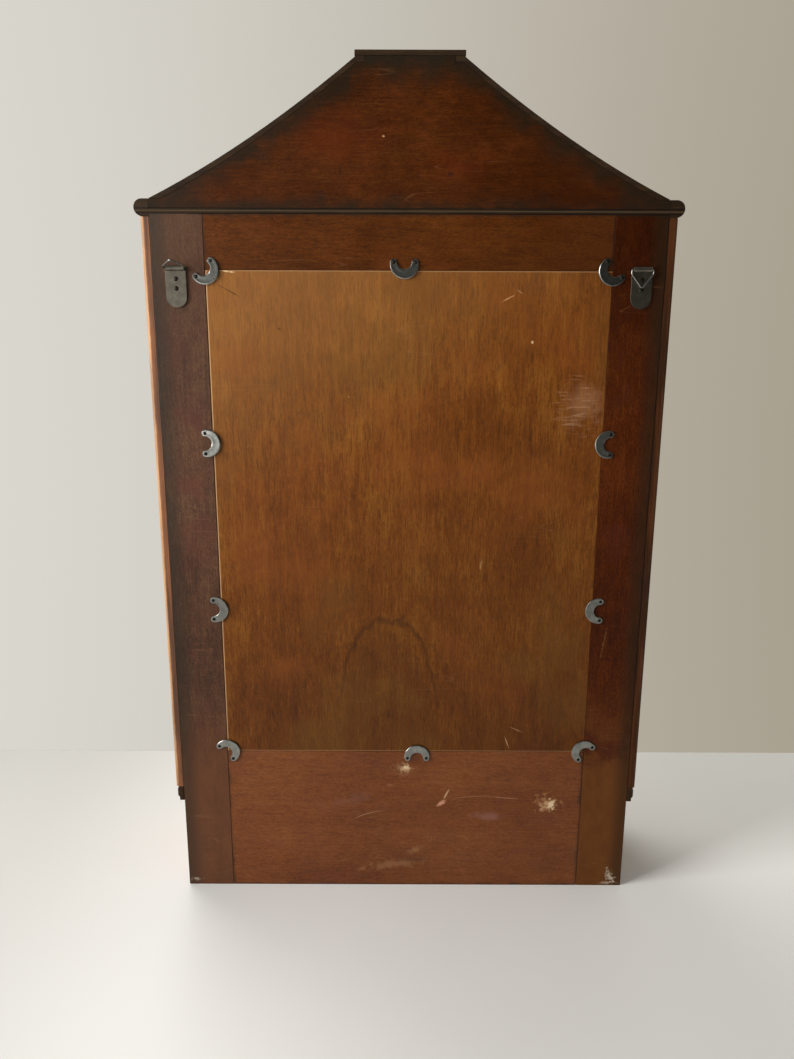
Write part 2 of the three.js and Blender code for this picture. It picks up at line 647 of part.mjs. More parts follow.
// ---------------------------------------------------------------- drawer
function drawer() {
  const openHalf = FRAME_HALF - LOWER_SIDE_THICKNESS;
  const frontX = [-openHalf + DRAWER_REVEAL, openHalf - DRAWER_REVEAL];
  const frontZ = [BASE_THICKNESS + DRAWER_REVEAL, DECK_BOTTOM - DRAWER_REVEAL];
  const frontBackY = LOWER_FRONT_Y + DRAWER_FRONT_THICKNESS;
  place("drawer_front", CASE_WOOD, block(frontX, [LOWER_FRONT_Y, frontBackY], frontZ));

  const wallOuter = openHalf - 2 * DRAWER_REVEAL;
  const wallInner = wallOuter - DRAWER_WALL;
  const wallY = [frontBackY + GAP, DRAWER_BACK_Y];
  const wallZ = [BASE_THICKNESS + 0.6, DRAWER_WALL_TOP];
  for (const [side, sign] of Object.entries(SIDES)) {
    place(`drawer_side_${side}`, INNER_WOOD, block(onSide(sign, [wallInner, wallOuter]), wallY, wallZ));
  }
  const insideX = [-wallInner + GAP, wallInner - GAP];
  const backFrontY = DRAWER_BACK_Y - DRAWER_WALL;
  place("drawer_back", INNER_WOOD, block(insideX, [backFrontY, DRAWER_BACK_Y], wallZ));

  const floorZ = [wallZ[0] + 3, wallZ[0] + 3 + DRAWER_BOTTOM_THICKNESS];
  place("drawer_bottom", PLYWOOD, block(insideX, [wallY[0], backFrontY - GAP], floorZ));

  const clear = 1.5;
  const cushionX = [insideX[0] + clear, insideX[1] - clear];
  const cushionY = [wallY[0] + clear, backFrontY - clear];
  place("ring_cushion", VELVET, block(cushionX, cushionY, [floorZ[1] + GAP, CUSHION_TOP]));
  knob("drawer_knob", 0, LOWER_FRONT_Y, (frontZ[0] + frontZ[1]) / 2);
}

backFrame();
clips();
hangers();
roof();
cornice();
upperAndLowerCase();
waistMouldings();
insideFittings();
door();
hinges();
drawer();

export default armoire;
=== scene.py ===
"""A jewelry armoire seen from its framed back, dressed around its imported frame.

Metres, in the frame's axes: +Z is up, the front faces -Y, the framed back faces +Y, and left is -X.
Every place comes from the frame's boxes or from a named size below.
"""

import math
import random

import bmesh
import bpy
from mathutils import Matrix, Vector


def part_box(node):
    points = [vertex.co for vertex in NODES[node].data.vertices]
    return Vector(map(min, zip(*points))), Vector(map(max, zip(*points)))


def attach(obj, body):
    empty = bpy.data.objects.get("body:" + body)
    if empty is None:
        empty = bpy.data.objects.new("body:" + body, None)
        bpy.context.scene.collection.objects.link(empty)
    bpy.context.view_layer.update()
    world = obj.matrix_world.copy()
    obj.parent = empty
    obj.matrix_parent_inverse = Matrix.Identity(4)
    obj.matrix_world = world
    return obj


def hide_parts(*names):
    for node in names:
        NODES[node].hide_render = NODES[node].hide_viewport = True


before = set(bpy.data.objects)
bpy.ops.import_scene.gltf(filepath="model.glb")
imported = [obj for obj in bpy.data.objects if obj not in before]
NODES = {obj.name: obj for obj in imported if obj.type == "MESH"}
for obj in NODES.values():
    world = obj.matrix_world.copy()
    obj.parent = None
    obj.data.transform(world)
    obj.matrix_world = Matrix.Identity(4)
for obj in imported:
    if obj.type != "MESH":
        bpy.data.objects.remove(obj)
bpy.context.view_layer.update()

MM = 0.001
SIDES = {"left": -1, "right": 1}
BACK_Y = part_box("back_stile_left")[1].y
X, Y, Z = 0, 1, 2

bpy.context.scene.view_settings.view_transform = "Standard"  # the colours below are as they look


# ---- camera, light and floor
LENS = 27.06  # on a 36 mm sensor, whose width is the picture's long side
CAMERA_DISTANCE = 0.811  # from the framed back
CAMERA_X = 0.0107
CAMERA_Z = 0.6074
CAMERA_PITCH = math.radians(12.8)
CAMERA_ROLL = math.radians(0.2)
FLOOR_END = 0.316  # the floor reaches this far past the framed back, as seen from the camera
FLOOR_HALF_WIDTH, FLOOR_NEAR, FLOOR_THICKNESS = 2.6, 2.4, 0.03
LIGHT_SPREAD = math.radians(105)
LIGHTS = {
    "window": dict(place=(1.5, 0.72, 1.0), target=(-0.1, 0.1, 0.55), size=(0.8, 1.2), power=14.5,
                   colour=(1.0, 0.985, 0.965)),
    "front_fill": dict(place=(1.1, -1.6, 2.6), target=(0, 0, 0.4), size=(2.0, 2.0), power=14,
                       colour=(1.0, 0.96, 0.92)),
}
WALL_BRIGHT, WALL_DIM = (220, 217, 209), (166, 157, 140)  # the room past the object, by the window and away
# The room in front of the framed back is brighter than white, low down by the window. It is dim elsewhere.
ROOM_GLOW = tuple(5.0 * share for share in (1, 0.985, 0.96))
ROOM_DIM, ROOM_HIGH = (9, 6, 4), (52, 48, 42)  # away from the window, and above it
CEILING = (176, 175, 170)


def make_camera():
    camera = bpy.data.objects.new("camera", bpy.data.cameras.new("camera"))
    bpy.context.scene.collection.objects.link(camera)
    camera.data.lens = LENS
    camera.data.sensor_width = 36
    camera.data.clip_start = 0.01
    facing = Matrix.Rotation(math.pi, 4, "Z")
    tilt = Matrix.Rotation(math.pi / 2 - CAMERA_PITCH, 4, "X")
    roll = Matrix.Rotation(CAMERA_ROLL, 4, "Z")
    place = Matrix.Translation((CAMERA_X, BACK_Y + CAMERA_DISTANCE, CAMERA_Z))
    camera.matrix_world = place @ facing @ tilt @ roll
    bpy.context.scene.camera = camera


def area_light(name, place, target, size, power, colour):
    light = bpy.data.lights.new(name, "AREA")
    light.shape = "RECTANGLE"
    light.size, light.size_y = size
    light.energy = power
    light.color = colour
    light.spread = LIGHT_SPREAD
    lamp = bpy.data.objects.new(name, light)
    bpy.context.scene.collection.objects.link(lamp)
    lamp.location = place
    lamp.rotation_euler = (Vector(target) - Vector(place)).to_track_quat("-Z", "Y").to_euler()


def make_world():
    """A room's light by direction: +X is the window's side. The camera sees only the plain wall."""
    world = bpy.data.worlds.new("room")
    bpy.context.scene.world = world
    world.use_nodes = True
    tree = world.node_tree

    def link(value, socket):
        if isinstance(value, bpy.types.NodeSocket):
            tree.links.new(value, socket)
        else:
            socket.default_value = (*srgb(*value), 1)

    def rising(value, low, high):
        made = tree.nodes.new("ShaderNodeMapRange")
        made.interpolation_type = "SMOOTHSTEP"
        made.inputs["From Min"].default_value = low
        made.inputs["From Max"].default_value = high
        tree.links.new(value, made.inputs["Value"])
        return made.outputs["Result"]

    def blend(fac, a, b):
        made = tree.nodes.new("ShaderNodeMix")
        made.data_type = "RGBA"
        tree.links.new(fac, made.inputs[0])
        link(a, made.inputs[6])
        link(b, made.inputs[7])
        return made.outputs[2]

    coordinates = tree.nodes.new("ShaderNodeTexCoord")
    split = tree.nodes.new("ShaderNodeSeparateXYZ")
    tree.links.new(coordinates.outputs["Generated"], split.inputs[0])
    x, y, z = split.outputs
    wall = blend(rising(x, -0.6, 0.6), WALL_DIM, WALL_BRIGHT)
    low = tree.nodes.new("ShaderNodeRGB")
    low.outputs[0].default_value = (*ROOM_GLOW, 1)
    beside = blend(rising(z, -0.12, 0.03), low.outputs[0], ROOM_HIGH)
    room = blend(rising(x, 0.02, 0.40), ROOM_DIM, beside)
    around = blend(rising(z, 0.5, 0.9), blend(rising(y, -0.15, 0.35), wall, room), CEILING)
    seen = tree.nodes.new("ShaderNodeLightPath").outputs["Is Camera Ray"]
    link(blend(seen, around, wall), tree.nodes["Background"].inputs["Color"])


def make_floor():
    """A pale painted top that ends behind the object, with a rounded edge."""
    far = BACK_Y - FLOOR_END
    mesh = bpy.data.meshes.new("floor")
    shape = bmesh.new()
    bmesh.ops.create_cube(shape, size=1)
    stretch = Matrix.Diagonal((2 * FLOOR_HALF_WIDTH, FLOOR_NEAR - far, FLOOR_THICKNESS, 1))
    shape.transform(Matrix.Translation((0, (FLOOR_NEAR + far) / 2, -FLOOR_THICKNESS / 2)) @ stretch)
    shape.to_mesh(mesh)
    shape.free()
    floor = bpy.data.objects.new("floor", mesh)
    bpy.context.scene.collection.objects.link(floor)
    edge = floor.modifiers.new("edge", "BEVEL")
    edge.width, edge.segments = 0.004, 3
    g = Graph("floor_paint")
    blotch = g.noise(g.place, 3.0, 3)
    even = g.ramp(blotch, [(0.3, (242, 243, 241)), (0.7, (247, 247, 245))])
    # Darker towards the window's side: painted shade on the floor, which tones down the window's light there.
    toward_window = g.step(g.split(g.place)[X], 0.05, 0.5)
    g.set(Base_Color=g.mix(toward_window, even, (203, 203, 200)))
    g.set(Roughness=0.42)
    g.bump(g.noise(g.place, 60, 3), 0.05, 0.0005)
    floor.data.materials.append(g.material)


# ---- shader graphs
def srgb(red, green, blue):
    """A colour given as 0 to 255, as linear light."""
    def linear(value):
        value /= 255
        return value / 12.92 if value <= 0.04045 else ((value + 0.055) / 1.055) ** 2.4
    return linear(red), linear(green), linear(blue)


class Graph:
    """Writes one material's nodes. Coordinates are the object's own, so they follow a moving body."""

    def __init__(self, name):
        self.material = bpy.data.materials.new(name)
        self.material.use_nodes = True
        self.tree = self.material.node_tree
        self.shader = self.tree.nodes["Principled BSDF"]
        self.place = self.tree.nodes.new("ShaderNodeTexCoord").outputs["Object"]
        self.height = None

    def node(self, kind, *values, **settings):
        """A node with its settings, and its inputs fed in order; None leaves an input as it is."""
        made = self.tree.nodes.new("ShaderNode" + kind)
        for key, value in settings.items():
            setattr(made, key, value)
        for socket, value in zip(made.inputs, values):
            self.feed(socket, value)
        return made

    def feed(self, socket, value):
        if isinstance(value, bpy.types.NodeSocket):
            self.tree.links.new(value, socket)
        elif value is not None:
            socket.default_value = value

    def fill(self, node, **values):
        """Feeds a node's inputs by name; an underscore in a name stands for a space."""
        for key, value in values.items():
            self.feed(node.inputs[key.replace("_", " ")], value)

    def math(self, operation, a, b=None, c=None, clamp=False):
        return self.node("Math", a, b, c, operation=operation, use_clamp=clamp).outputs[0]

    def times(self, a, b):
        return self.math("MULTIPLY", a, b)

    def split(self, vector):
        return self.node("SeparateXYZ", vector).outputs

    def moved(self, vector, shift=(0, 0, 0), turn=(0, 0, 0), scale=(1, 1, 1)):
        """The vector scaled, turned and shifted."""
        return self.node("Mapping", vector, shift, turn, scale).outputs[0]

    def noise(self, vector, scale, detail=2.0, roughness=0.5, distortion=0.0):
        made = self.node("TexNoise")
        self.fill(made, Vector=vector, Scale=scale, Detail=detail, Roughness=roughness, Distortion=distortion)
        return made.outputs["Fac"]

    def ramp(self, fac, stops):
        """Colours at places along the factor."""
        made = self.node("ValToRGB", fac)
        elements = made.color_ramp.elements
        while len(elements) < len(stops):
            elements.new(0.5)
        for element, (at, tone) in zip(elements, stops):
            element.position = at
            element.color = (*srgb(*tone), 1)
        return made.outputs[0]

    def step(self, value, low, high):
        """0 below low and 1 above high, smooth between them; low above high turns it round."""
        made = self.node("MapRange", interpolation_type="SMOOTHSTEP")
        ends = (low, high, 0.0, 1.0) if low < high else (high, low, 1.0, 0.0)
        for socket, item in zip(made.inputs, (value, *ends)):
            self.feed(socket, item)
        return made.outputs[0]

    def mix(self, fac, a, b):
        """Goes from colour a to colour b as fac goes from 0 to 1."""
        made = self.tree.nodes.new("ShaderNodeMix")
        made.data_type = "RGBA"
        for socket, value in zip((made.inputs[0], made.inputs[6], made.inputs[7]), (fac, a, b)):
            if isinstance(value, tuple):
                value = (*srgb(*value), 1)
            self.feed(socket, value)
        return made.outputs[2]

    def over(self, colour, tint, mask, strength):
        """The colour with a tint laid over it where the mask is 1, as strongly as strength says."""
        return self.mix(self.times(mask, strength), colour, tint)

    def between(self, fac, a, b):
        """A value that goes from a to b as fac goes from 0 to 1."""
        return self.math("MULTIPLY_ADD", fac, self.math("SUBTRACT", b, a), a)

    def set(self, **values):
        """Feeds the shader's inputs by name."""
        self.fill(self.shader, **values)

    def bump(self, height, strength, distance):
        made = self.node("Bump")
        self.fill(made, Strength=strength, Distance=distance, Height=height, Normal=self.height)
        self.height = made.outputs[0]
        self.set(Normal=self.height)

    def edge_distance(self, low, high, axes):
        """How far a point is inside the box's faces along the given axes, in metres."""
        coordinates = self.split(self.place)
        nearest = None
        for axis in axes:
            here = coordinates[axis]
            for distance in self.math("SUBTRACT", here, low[axis]), self.math("SUBTRACT", high[axis], here):
                nearest = distance if nearest is None else self.math("MINIMUM", nearest, distance)
        return nearest

    def mark(self, centre, size, angle=0, ragged=0.25, soft=0.3, bend=0, grain=260):
        """A mask for a mark on the back: a turned, bent ellipse, its centre and half-sizes (x, z) in mm."""
        return self.step(self.from_mark(centre, size, angle, bend, ragged, grain), 1.0, 1.0 - soft)

    def ring(self, centre, size, width, ragged=0.1, grain=30):
        """A mask for the line round an ellipse, as a dried stain leaves."""
        far = self.from_mark(centre, size, 0.0, 0.0, ragged, grain)
        return self.step(self.math("ABSOLUTE", self.math("SUBTRACT", far, 1.0)), width, 0.0)

    def from_mark(self, centre, size, angle, bend, ragged, grain):
        """How far a point is from a mark's middle, where 1 is its edge."""
        middle, half = (centre[0] * MM, 0, centre[1] * MM), (size[0] * MM, 1, size[1] * MM)
        turn = (0, math.radians(-angle), 0)
        seen = self.node("Mapping", self.place, middle, turn, half, vector_type="TEXTURE").outputs[0]
        u, _, v = self.split(seen)
        if bend:
            v = self.math("MULTIPLY_ADD", self.times(u, u), bend, v)
        far = self.math("SQRT", self.math("ADD", self.times(u, u), self.times(v, v)))
        rough = self.math("SUBTRACT", self.noise(self.place, grain, 3, 0.65), 0.5)
        inward = self.times(self.step(self.split(self.place)[Y], BACK_Y - 1.5 * MM, BACK_Y - 3 * MM), 99.0)
        return self.math("ADD", self.math("MULTIPLY_ADD", rough, 4 * ragged, far), inward)

    def hairlines(self, turn, scale, width, keep):
        """A mask of long fine scratches, in patches: thin contours of a drawn-out noise."""
        lined = self.moved(self.place, (scale, 0, 0), (0, math.radians(turn), 0), (0.05, 1, 1))
        contour = self.math("ABSOLUTE", self.math("SUBTRACT", self.noise(lined, scale, 1), 0.5))
        patches = self.step(self.noise(self.place, 14 + 0.02 * scale, 2), keep, keep + 0.08)
        return self.times(self.step(contour, width, 0.0), patches)


# ---- wood
STRETCH = 0.045  # how much finer the grain is drawn along a board than across it
GRIME_AND_SHADE = (30, 25, 14)
SOOT = (27, 21, 11)  # the old dark edges of the boards where they meet the framed back
EDGE_BROWN = (84, 50, 26)
# Painted shade on the back edge of the side board away from the window.
SHADE_SIDE_EDGE = (48, 25, 9)
PLAIN = dict(broad=0.40, streak=0.24, fibre=0.28, blotch=0.25, mottle=0.12, speck=0.12)


def wood(name, along, tones, seed, box=None, edge_axes=(), grime_and_shade=0.0, grime_reach=0.012, gloss=0.5, pore=0.4,
         pore_scale=1500, contrast=1.0, marks=None, coat=0.0, specular=0.5, dark_end=None, highlight_and_wear=0.0,
         weights=PLAIN):
    """Varnished or bare timber. Tones run from dark to light. Grime and painted shade lie near the faces on
    edge_axes.
    """
    g = Graph(name)
    chance = random.Random(seed)
    shift = tuple(chance.uniform(-3, 3) for _ in range(3))
    lean = tuple(0 if axis == along else math.radians(chance.uniform(-1.2, 1.2)) for axis in range(3))
    across = g.moved(g.place, shift, lean)

    def drawn(stretch):
        return g.moved(across, scale=tuple(stretch if axis == along else 1.0 for axis in range(3)))

    noises = {
        "broad": g.noise(drawn(STRETCH), 14, 4, 0.55, 0.6),
        "streak": g.noise(drawn(0.06), 130, 3, 0.6),
        "fibre": g.noise(drawn(0.08), 560, 4, 0.65),
        "blotch": g.noise(across, 9, 4, 0.6),
        "mottle": g.noise(drawn(0.5), 75, 4, 0.65),
        "speck": g.noise(drawn(0.35), 850, 3, 0.7),
    }
    tone = 0.0
    for key, weight in weights.items():
        tone = g.math("MULTIPLY_ADD", noises[key], weight, tone)
    spread, middle = 0.17 / contrast, 0.5 * sum(weights.values())
    dark, mid, light = tones
    colour = g.ramp(tone, [(middle - spread, dark), (middle, mid), (middle + spread, light)])
    vessel = g.noise(drawn(0.1), pore_scale, 2, 0.6)
    pores = g.times(g.step(vessel, 0.49, 0.66), pore)
    colour = g.mix(pores, colour, tuple(0.55 * value for value in dark))
    rough = g.math("MULTIPLY_ADD", g.math("SUBTRACT", noises["blotch"], 0.5), 0.35, gloss)
    rough = g.math("MULTIPLY_ADD", g.math("SUBTRACT", noises["fibre"], 0.5), 0.25, rough, clamp=True)
    wobble = g.math("SUBTRACT", g.noise(across, 55, 4, 0.65), 0.5)
    # Grime near the board's faces, with painted shade in the gaps where boards meet.
    if grime_and_shade and box:
        inside = g.edge_distance(*box, edge_axes)
        inside = g.math("MULTIPLY_ADD", wobble, 2.4 * grime_reach, inside)
        dirt_and_shade = g.step(inside, grime_reach, -0.3 * grime_reach)
        colour = g.over(colour, GRIME_AND_SHADE, dirt_and_shade, grime_and_shade)
        rough = g.between(g.times(dirt_and_shade, 0.6 * grime_and_shade), rough, 0.75)
    if dark_end:
        tint, reach, strength = dark_end
        near = g.math("MULTIPLY_ADD", wobble, 0.7 * reach, g.split(g.place)[Y])
        worn = g.times(g.step(near, BACK_Y - 1.7 * reach, BACK_Y - 0.2 * reach), strength)
        shade = g.mix(g.step(noises["streak"], 0.42, 0.62), tint, tuple(1.6 * value for value in tint))
        colour = g.mix(worn, colour, shade)
        rough = g.between(worn, rough, 0.7)
        coat = g.math("MULTIPLY_ADD", worn, -coat, coat)
    # A pale band along the board's rounded outer back corner: painted highlight where the window's light
    # catches it, with a little wear; strongest on the window's side.
    if highlight_and_wear:
        outer = g.times(g.split(g.place)[X], math.copysign(1, box[0].x))
        outer = g.math("MULTIPLY_ADD", wobble, 3 * MM, outer)
        face = max(abs(box[0].x), abs(box[1].x))
        pale = g.times(g.step(outer, face - 4.2 * MM, face - 2.4 * MM),
                      g.step(g.split(g.place)[Y], BACK_Y - 9 * MM, BACK_Y - 5 * MM))
        patchy = g.math("MULTIPLY_ADD", g.step(noises["streak"], 0.4, 0.6), 0.5, 0.5)
        colour = g.over(colour, (184, 138, 94), g.times(pale, patchy), highlight_and_wear)
    if marks:
        colour, rough = marks(g, colour, rough, noises)
    g.set(Base_Color=colour)
    g.set(Roughness=rough, Specular_IOR_Level=specular, Coat_Weight=coat, Coat_Roughness=0.22)
    g.bump(g.noise(across, 26, 2), 0.2, 0.0010)
    g.bump(noises["fibre"], 0.3, 0.00022)
    g.bump(g.math("SUBTRACT", 1.0, pores), 0.35, 0.0002)
    return g.material


# The left stile's darker, redder tones are painted shade, away from the window; the right stile's paler, greyer
# tones are painted sheen, on the window's side.
SHADED_STILE_LEFT_TONES = ((46, 15, 0), (74, 28, 0), (98, 46, 6))
SHEEN_STILE_RIGHT_TONES = ((58, 32, 18), (82, 50, 30), (106, 72, 46))
TOP_RAIL_TONES = ((56, 24, 0), (86, 41, 1), (108, 60, 8))
LOWER_RAIL_TONES = ((94, 45, 13), (122, 64, 21), (143, 86, 39))
PANEL_TONES = ((84, 40, 2), (118, 64, 8), (146, 92, 26))
PEDIMENT_TONES = ((46, 18, 0), (72, 31, 0), (90, 46, 6))
CASE_TONES = ((94, 46, 18), (136, 75, 33), (172, 108, 56))
INNER_TONES = ((140, 92, 48), (180, 128, 76), (206, 160, 104))

PALE_WOOD, BARE_WOOD, DUSTY = (204, 164, 122), (236, 208, 168), (140, 95, 58)
RED_STAIN, RUBBED = (92, 42, 30), (150, 104, 66)


def paint(g, colour, rough, marks):
    """Lays marks over a board: each is a colour, how strong it is, and what Graph.mark takes."""
    for tint, strength, *place in marks:
        mask = g.times(g.mark(*place), strength)
        colour = g.mix(mask, colour, tint)
        rough = g.between(mask, rough, 0.7)
    return colour, rough


def scratched(g, colour, strength, turns=(4, -38, 71), keep=0.55):
    """Lays fine pale scratches over a board, at the given turns in degrees."""
    for number, turn in enumerate(turns):
        lines = g.hairlines(turn, 48 + 17 * number, 0.0045, keep)
        colour = g.over(colour, RUBBED, lines, strength)
    return colour


def lower_rail_marks(g, colour, rough, noises):
    colour = g.over(colour, RED_STAIN, g.step(noises["mottle"], 0.52, 0.66), 0.3)
    smudge = g.step(g.noise(g.place, 19, 4, 0.65), 0.5, 0.7)
    colour = g.over(colour, (74, 38, 16), smudge, 0.24)
    colour = scratched(g, colour, 0.4)
    return paint(g, colour, rough, [
        ((140, 92, 76), 0.9, (-94, 89), (24, 7), 4, 0.4, 0.9, 0, 90),
        ((128, 82, 66), 0.4, (60, 108), (40, 9), -10, 0.6, 0.9, 0, 90),
        (RUBBED, 0.8, (-12, 46), (14, 5), -22, 0.6, 0.9),
        (RUBBED, 0.7, (12, 27), (44, 7), -8, 0.7, 0.9, 0, 120),
        ((66, 38, 20), 0.5, (-8, 33), (20, 4), 0, 0.7, 0.9, 0, 120),
        (DUSTY, 0.7, (-26, 62), (0.6, 8), 4, 0.15, 0.6),
        (DUSTY, 0.7, (-30, 60), (0.6, 8), 8, 0.15, 0.6),
        (DUSTY, 0.7, (-34, 62), (0.5, 7), 6, 0.15, 0.6),
        (DUSTY, 0.75, (-70, 60), (10, 0.7), 45, 0.15, 0.6, 0.6),
        (PALE_WOOD, 0.45, (43, 92), (22, 0.6), -18, 0.15, 0.6, 5),
        (PALE_WOOD, 0.35, (-78, 114), (34, 0.5), -3, 0.15, 0.6, 6),
        (PALE_WOOD, 0.5, (-114, 112), (18, 0.5), 5, 0.15, 0.6),
        (PALE_WOOD, 0.4, (18, 128), (5, 0.6), 0, 0.15, 0.6, 2),
        ((150, 108, 72), 0.6, (2.5, 147), (15, 10), 8, 0.7, 0.9),
        (PALE_WOOD, 0.8, (0.5, 149), (9, 6.5), 8, 0.6, 0.8),
        (BARE_WOOD, 0.75, (-0.5, 150), (5, 3.4), 0, 0.5, 0.8),
        (PALE_WOOD, 0.9, (-46, 116.5), (9, 1.4), -64, 0.2, 0.6, 0.4),
        ((214, 152, 122), 0.9, (-40.5, 105.5), (7, 3.2), -32, 0.3, 0.6),
        ((170, 118, 74), 0.75, (-159, 105), (17, 13), 0, 0.9, 0.9, 0, 200),
        (PALE_WOOD, 0.85, (-162, 104), (10, 8.5), 0, 0.8, 0.7, 0, 280),
        (BARE_WOOD, 0.95, (-165, 103.5), (4.4, 6), 0, 0.6, 0.6, 0, 280),
    ])


STILE_LOOKS = {
    "left": dict(red=0.3, top=(34, 10, 0), foot=((96, 52, 16), (132, 82, 38)), marks=[
        ((206, 192, 170), 0.8, (-237, 12), (5, 11), -20, 1.0, 0.9),
        ((206, 192, 170), 0.6, (-236, 4), (13, 2.4), 0, 1.0, 0.9),
        (DUSTY, 0.4, (-213, 300), (1.2, 22), 8, 0.7, 0.8),
    ]),
    "right": dict(red=0.5, top=(60, 34, 12), foot=((84, 44, 18), (118, 70, 36)), marks=[
        ((196, 180, 158), 0.6, (242, 7), (7, 3), -10, 0.9, 0.9),
    ]),
}


def stile_marks(side):
    """The marks of one stile. The right one is on the window's side; the left one's much darker top is painted
    shade.
    """
    look = STILE_LOOKS[side]

    def marks(g, colour, rough, noises):
        patch = g.step(g.noise(g.place, 22, 4, 0.65), 0.5, 0.68)
        colour = g.over(colour, RED_STAIN, patch, look["red"])
        low = g.math("MULTIPLY_ADD", patch, 0.06, g.split(g.place)[Z])
        # Darker towards the top; on the left stile, away from the window, this is painted shade.
        colour = g.over(colour, look["top"], g.step(low, 0.52, 0.70), 0.45)
        foot = g.mix(noises["mottle"], *look["foot"])
        colour = g.over(colour, foot, g.step(low, 0.26, 0.12), 0.8)
        colour = scratched(g, colour, 0.22, (82, 97, 60), keep=0.53)
        outer = g.times(g.split(g.place)[X], SIDES[side])
        near = g.math("MULTIPLY_ADD", g.math("SUBTRACT", noises["mottle"], 0.5), 0.018, outer)
        back = g.step(g.split(g.place)[Y], BACK_Y - 4 * MM, BACK_Y - 1 * MM)
        edge = g.times(g.step(near, 0.229, 0.246), back)
        return paint(g, g.over(colour, (34, 29, 16), edge, 0.55), rough, look["marks"])
    return marks


def panel_marks(g, colour, rough, noises):
    (_, _, low_z), (high_x, _, high_z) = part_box("back_panel")
    place = g.split(g.place)
    arch = g.ring((21, 188), (58, 139), 0.045, 0.07, 26)
    above = g.step(place[Z], 0.20, 0.26)
    colour = g.over(colour, (48, 22, 4), g.times(arch, above), 0.5)
    inside = g.mark((21, 188), (58, 139), ragged=0.05, soft=0.25, grain=40)
    colour = g.over(colour, (66, 34, 8), inside, 0.22)
    second = g.ring((64, 200), (60, 92), 0.04, 0.07, 40)
    colour = g.over(colour, (58, 30, 8), g.times(second, above), 0.26)
    tall = g.ring((-118, 330), (36, 190), 0.03, 0.08, 30)
    colour = g.over(colour, (60, 30, 8), tall, 0.2)
    # Darker towards the bottom and -X, paler towards the top and +X: painted shade and painted light, as the
    # window's light falls across the panel.
    down = g.math("MULTIPLY_ADD", place[X], 0.5, place[Z])
    colour = g.over(colour, (62, 28, 2), g.step(down, 0.66, 0.12), 0.36)
    colour = g.over(colour, (160, 112, 60), g.step(down, 0.50, 0.76), 0.4)
    warm = g.step(g.noise(g.place, 7, 3, 0.6), 0.46, 0.66)
    colour = g.over(colour, (138, 74, 26), warm, 0.4)
    cool = g.step(g.noise(g.moved(g.place, (4, 0, 2)), 8, 3, 0.6), 0.52, 0.7)
    colour = g.over(colour, (104, 70, 24), cool, 0.35)
    streaks = g.noise(g.moved(g.place, scale=(0.12, 1, 1)), 420, 3, 0.6)
    scuffed = g.mark((-172, 550), (30, 38), ragged=0.5, soft=0.8, grain=60)
    scuffed = g.times(scuffed, g.step(streaks, 0.54, 0.66))
    colour = g.over(colour, (192, 152, 118), scuffed, 0.4)
    haze = g.mark((-176, 552), (26, 34), ragged=0.6, soft=0.95, grain=50)
    colour = g.over(colour, (170, 128, 96), haze, 0.26)
    colour = scratched(g, colour, 0.2, (86, 40), keep=0.57)
    # Pale bands along the panel's +X, top and bottom edges: painted highlight where the light catches the
    # edges, and pale bare wood.
    colour = g.over(colour, (205, 160, 115), g.step(place[X], high_x - 1.6 * MM, high_x - 0.9 * MM), 0.75)
    colour = g.over(colour, (175, 135, 95), g.step(place[Z], high_z - 1.4 * MM, high_z - 0.8 * MM), 0.55)
    colour = g.over(colour, (170, 130, 90), g.step(place[Z], low_z + 1.8 * MM, low_z + 0.6 * MM), 0.5)
    return paint(g, colour, rough, [
        ((196, 150, 104), 0.8, (-98, 656), (8, 0.8), -28, 0.3, 0.6, 0.5),
        ((196, 150, 104), 0.5, (-109, 662), (5, 0.6), 35, 0.3, 0.6),
        ((214, 178, 134), 0.9, (-123, 614), (1.4, 2.0), 0, 0.3, 0.6),
        ((176, 132, 84), 0.6, (-78, 385), (1.2, 8), 6, 0.6, 0.7),
        (PALE_WOOD, 0.7, (-112, 181), (0.7, 10), -20, 0.2, 0.6),
        (PALE_WOOD, 0.5, (-122, 196), (9, 0.6), 25, 0.2, 0.6),
        ((66, 36, 14), 0.7, (176, 662), (15, 0.8), 28, 0.3, 0.6),
        ((224, 188, 142), 0.9, (176.8, 680.2), (8, 1.0), 6, 0.6, 0.6),
        ((204, 164, 116), 0.6, (188, 676), (1.0, 6), -18, 0.5, 0.6),
        ((204, 164, 116), 0.45, (60, 560), (1.0, 1.4), 0, 0.5, 0.6),
        ((62, 34, 12), 0.5, (128, 626), (3, 1.6), 0, 0.6, 0.7),
        ((62, 34, 12), 0.45, (20, 214), (2.4, 11), 0, 0.6, 0.8),
    ])


def rail_wear_and_shade(g, colour, rough, noises):
    patch = g.step(noises["mottle"], 0.53, 0.7)
    colour = g.over(colour, (96, 44, 14), patch, 0.35)
    # Darker towards -X, away from the window: painted shade.
    colour = g.over(colour, (44, 14, 0), g.step(g.split(g.place)[X], 0.0, -0.22), 0.45)
    return scratched(g, colour, 0.2, (2, -30), keep=0.56), rough


ROOF_TOP, ROOF_EAVE, ROOF_SAG = (0.050, 0.8704), (0.251, 0.746), 0.0075  # (half-width, height) of the slope


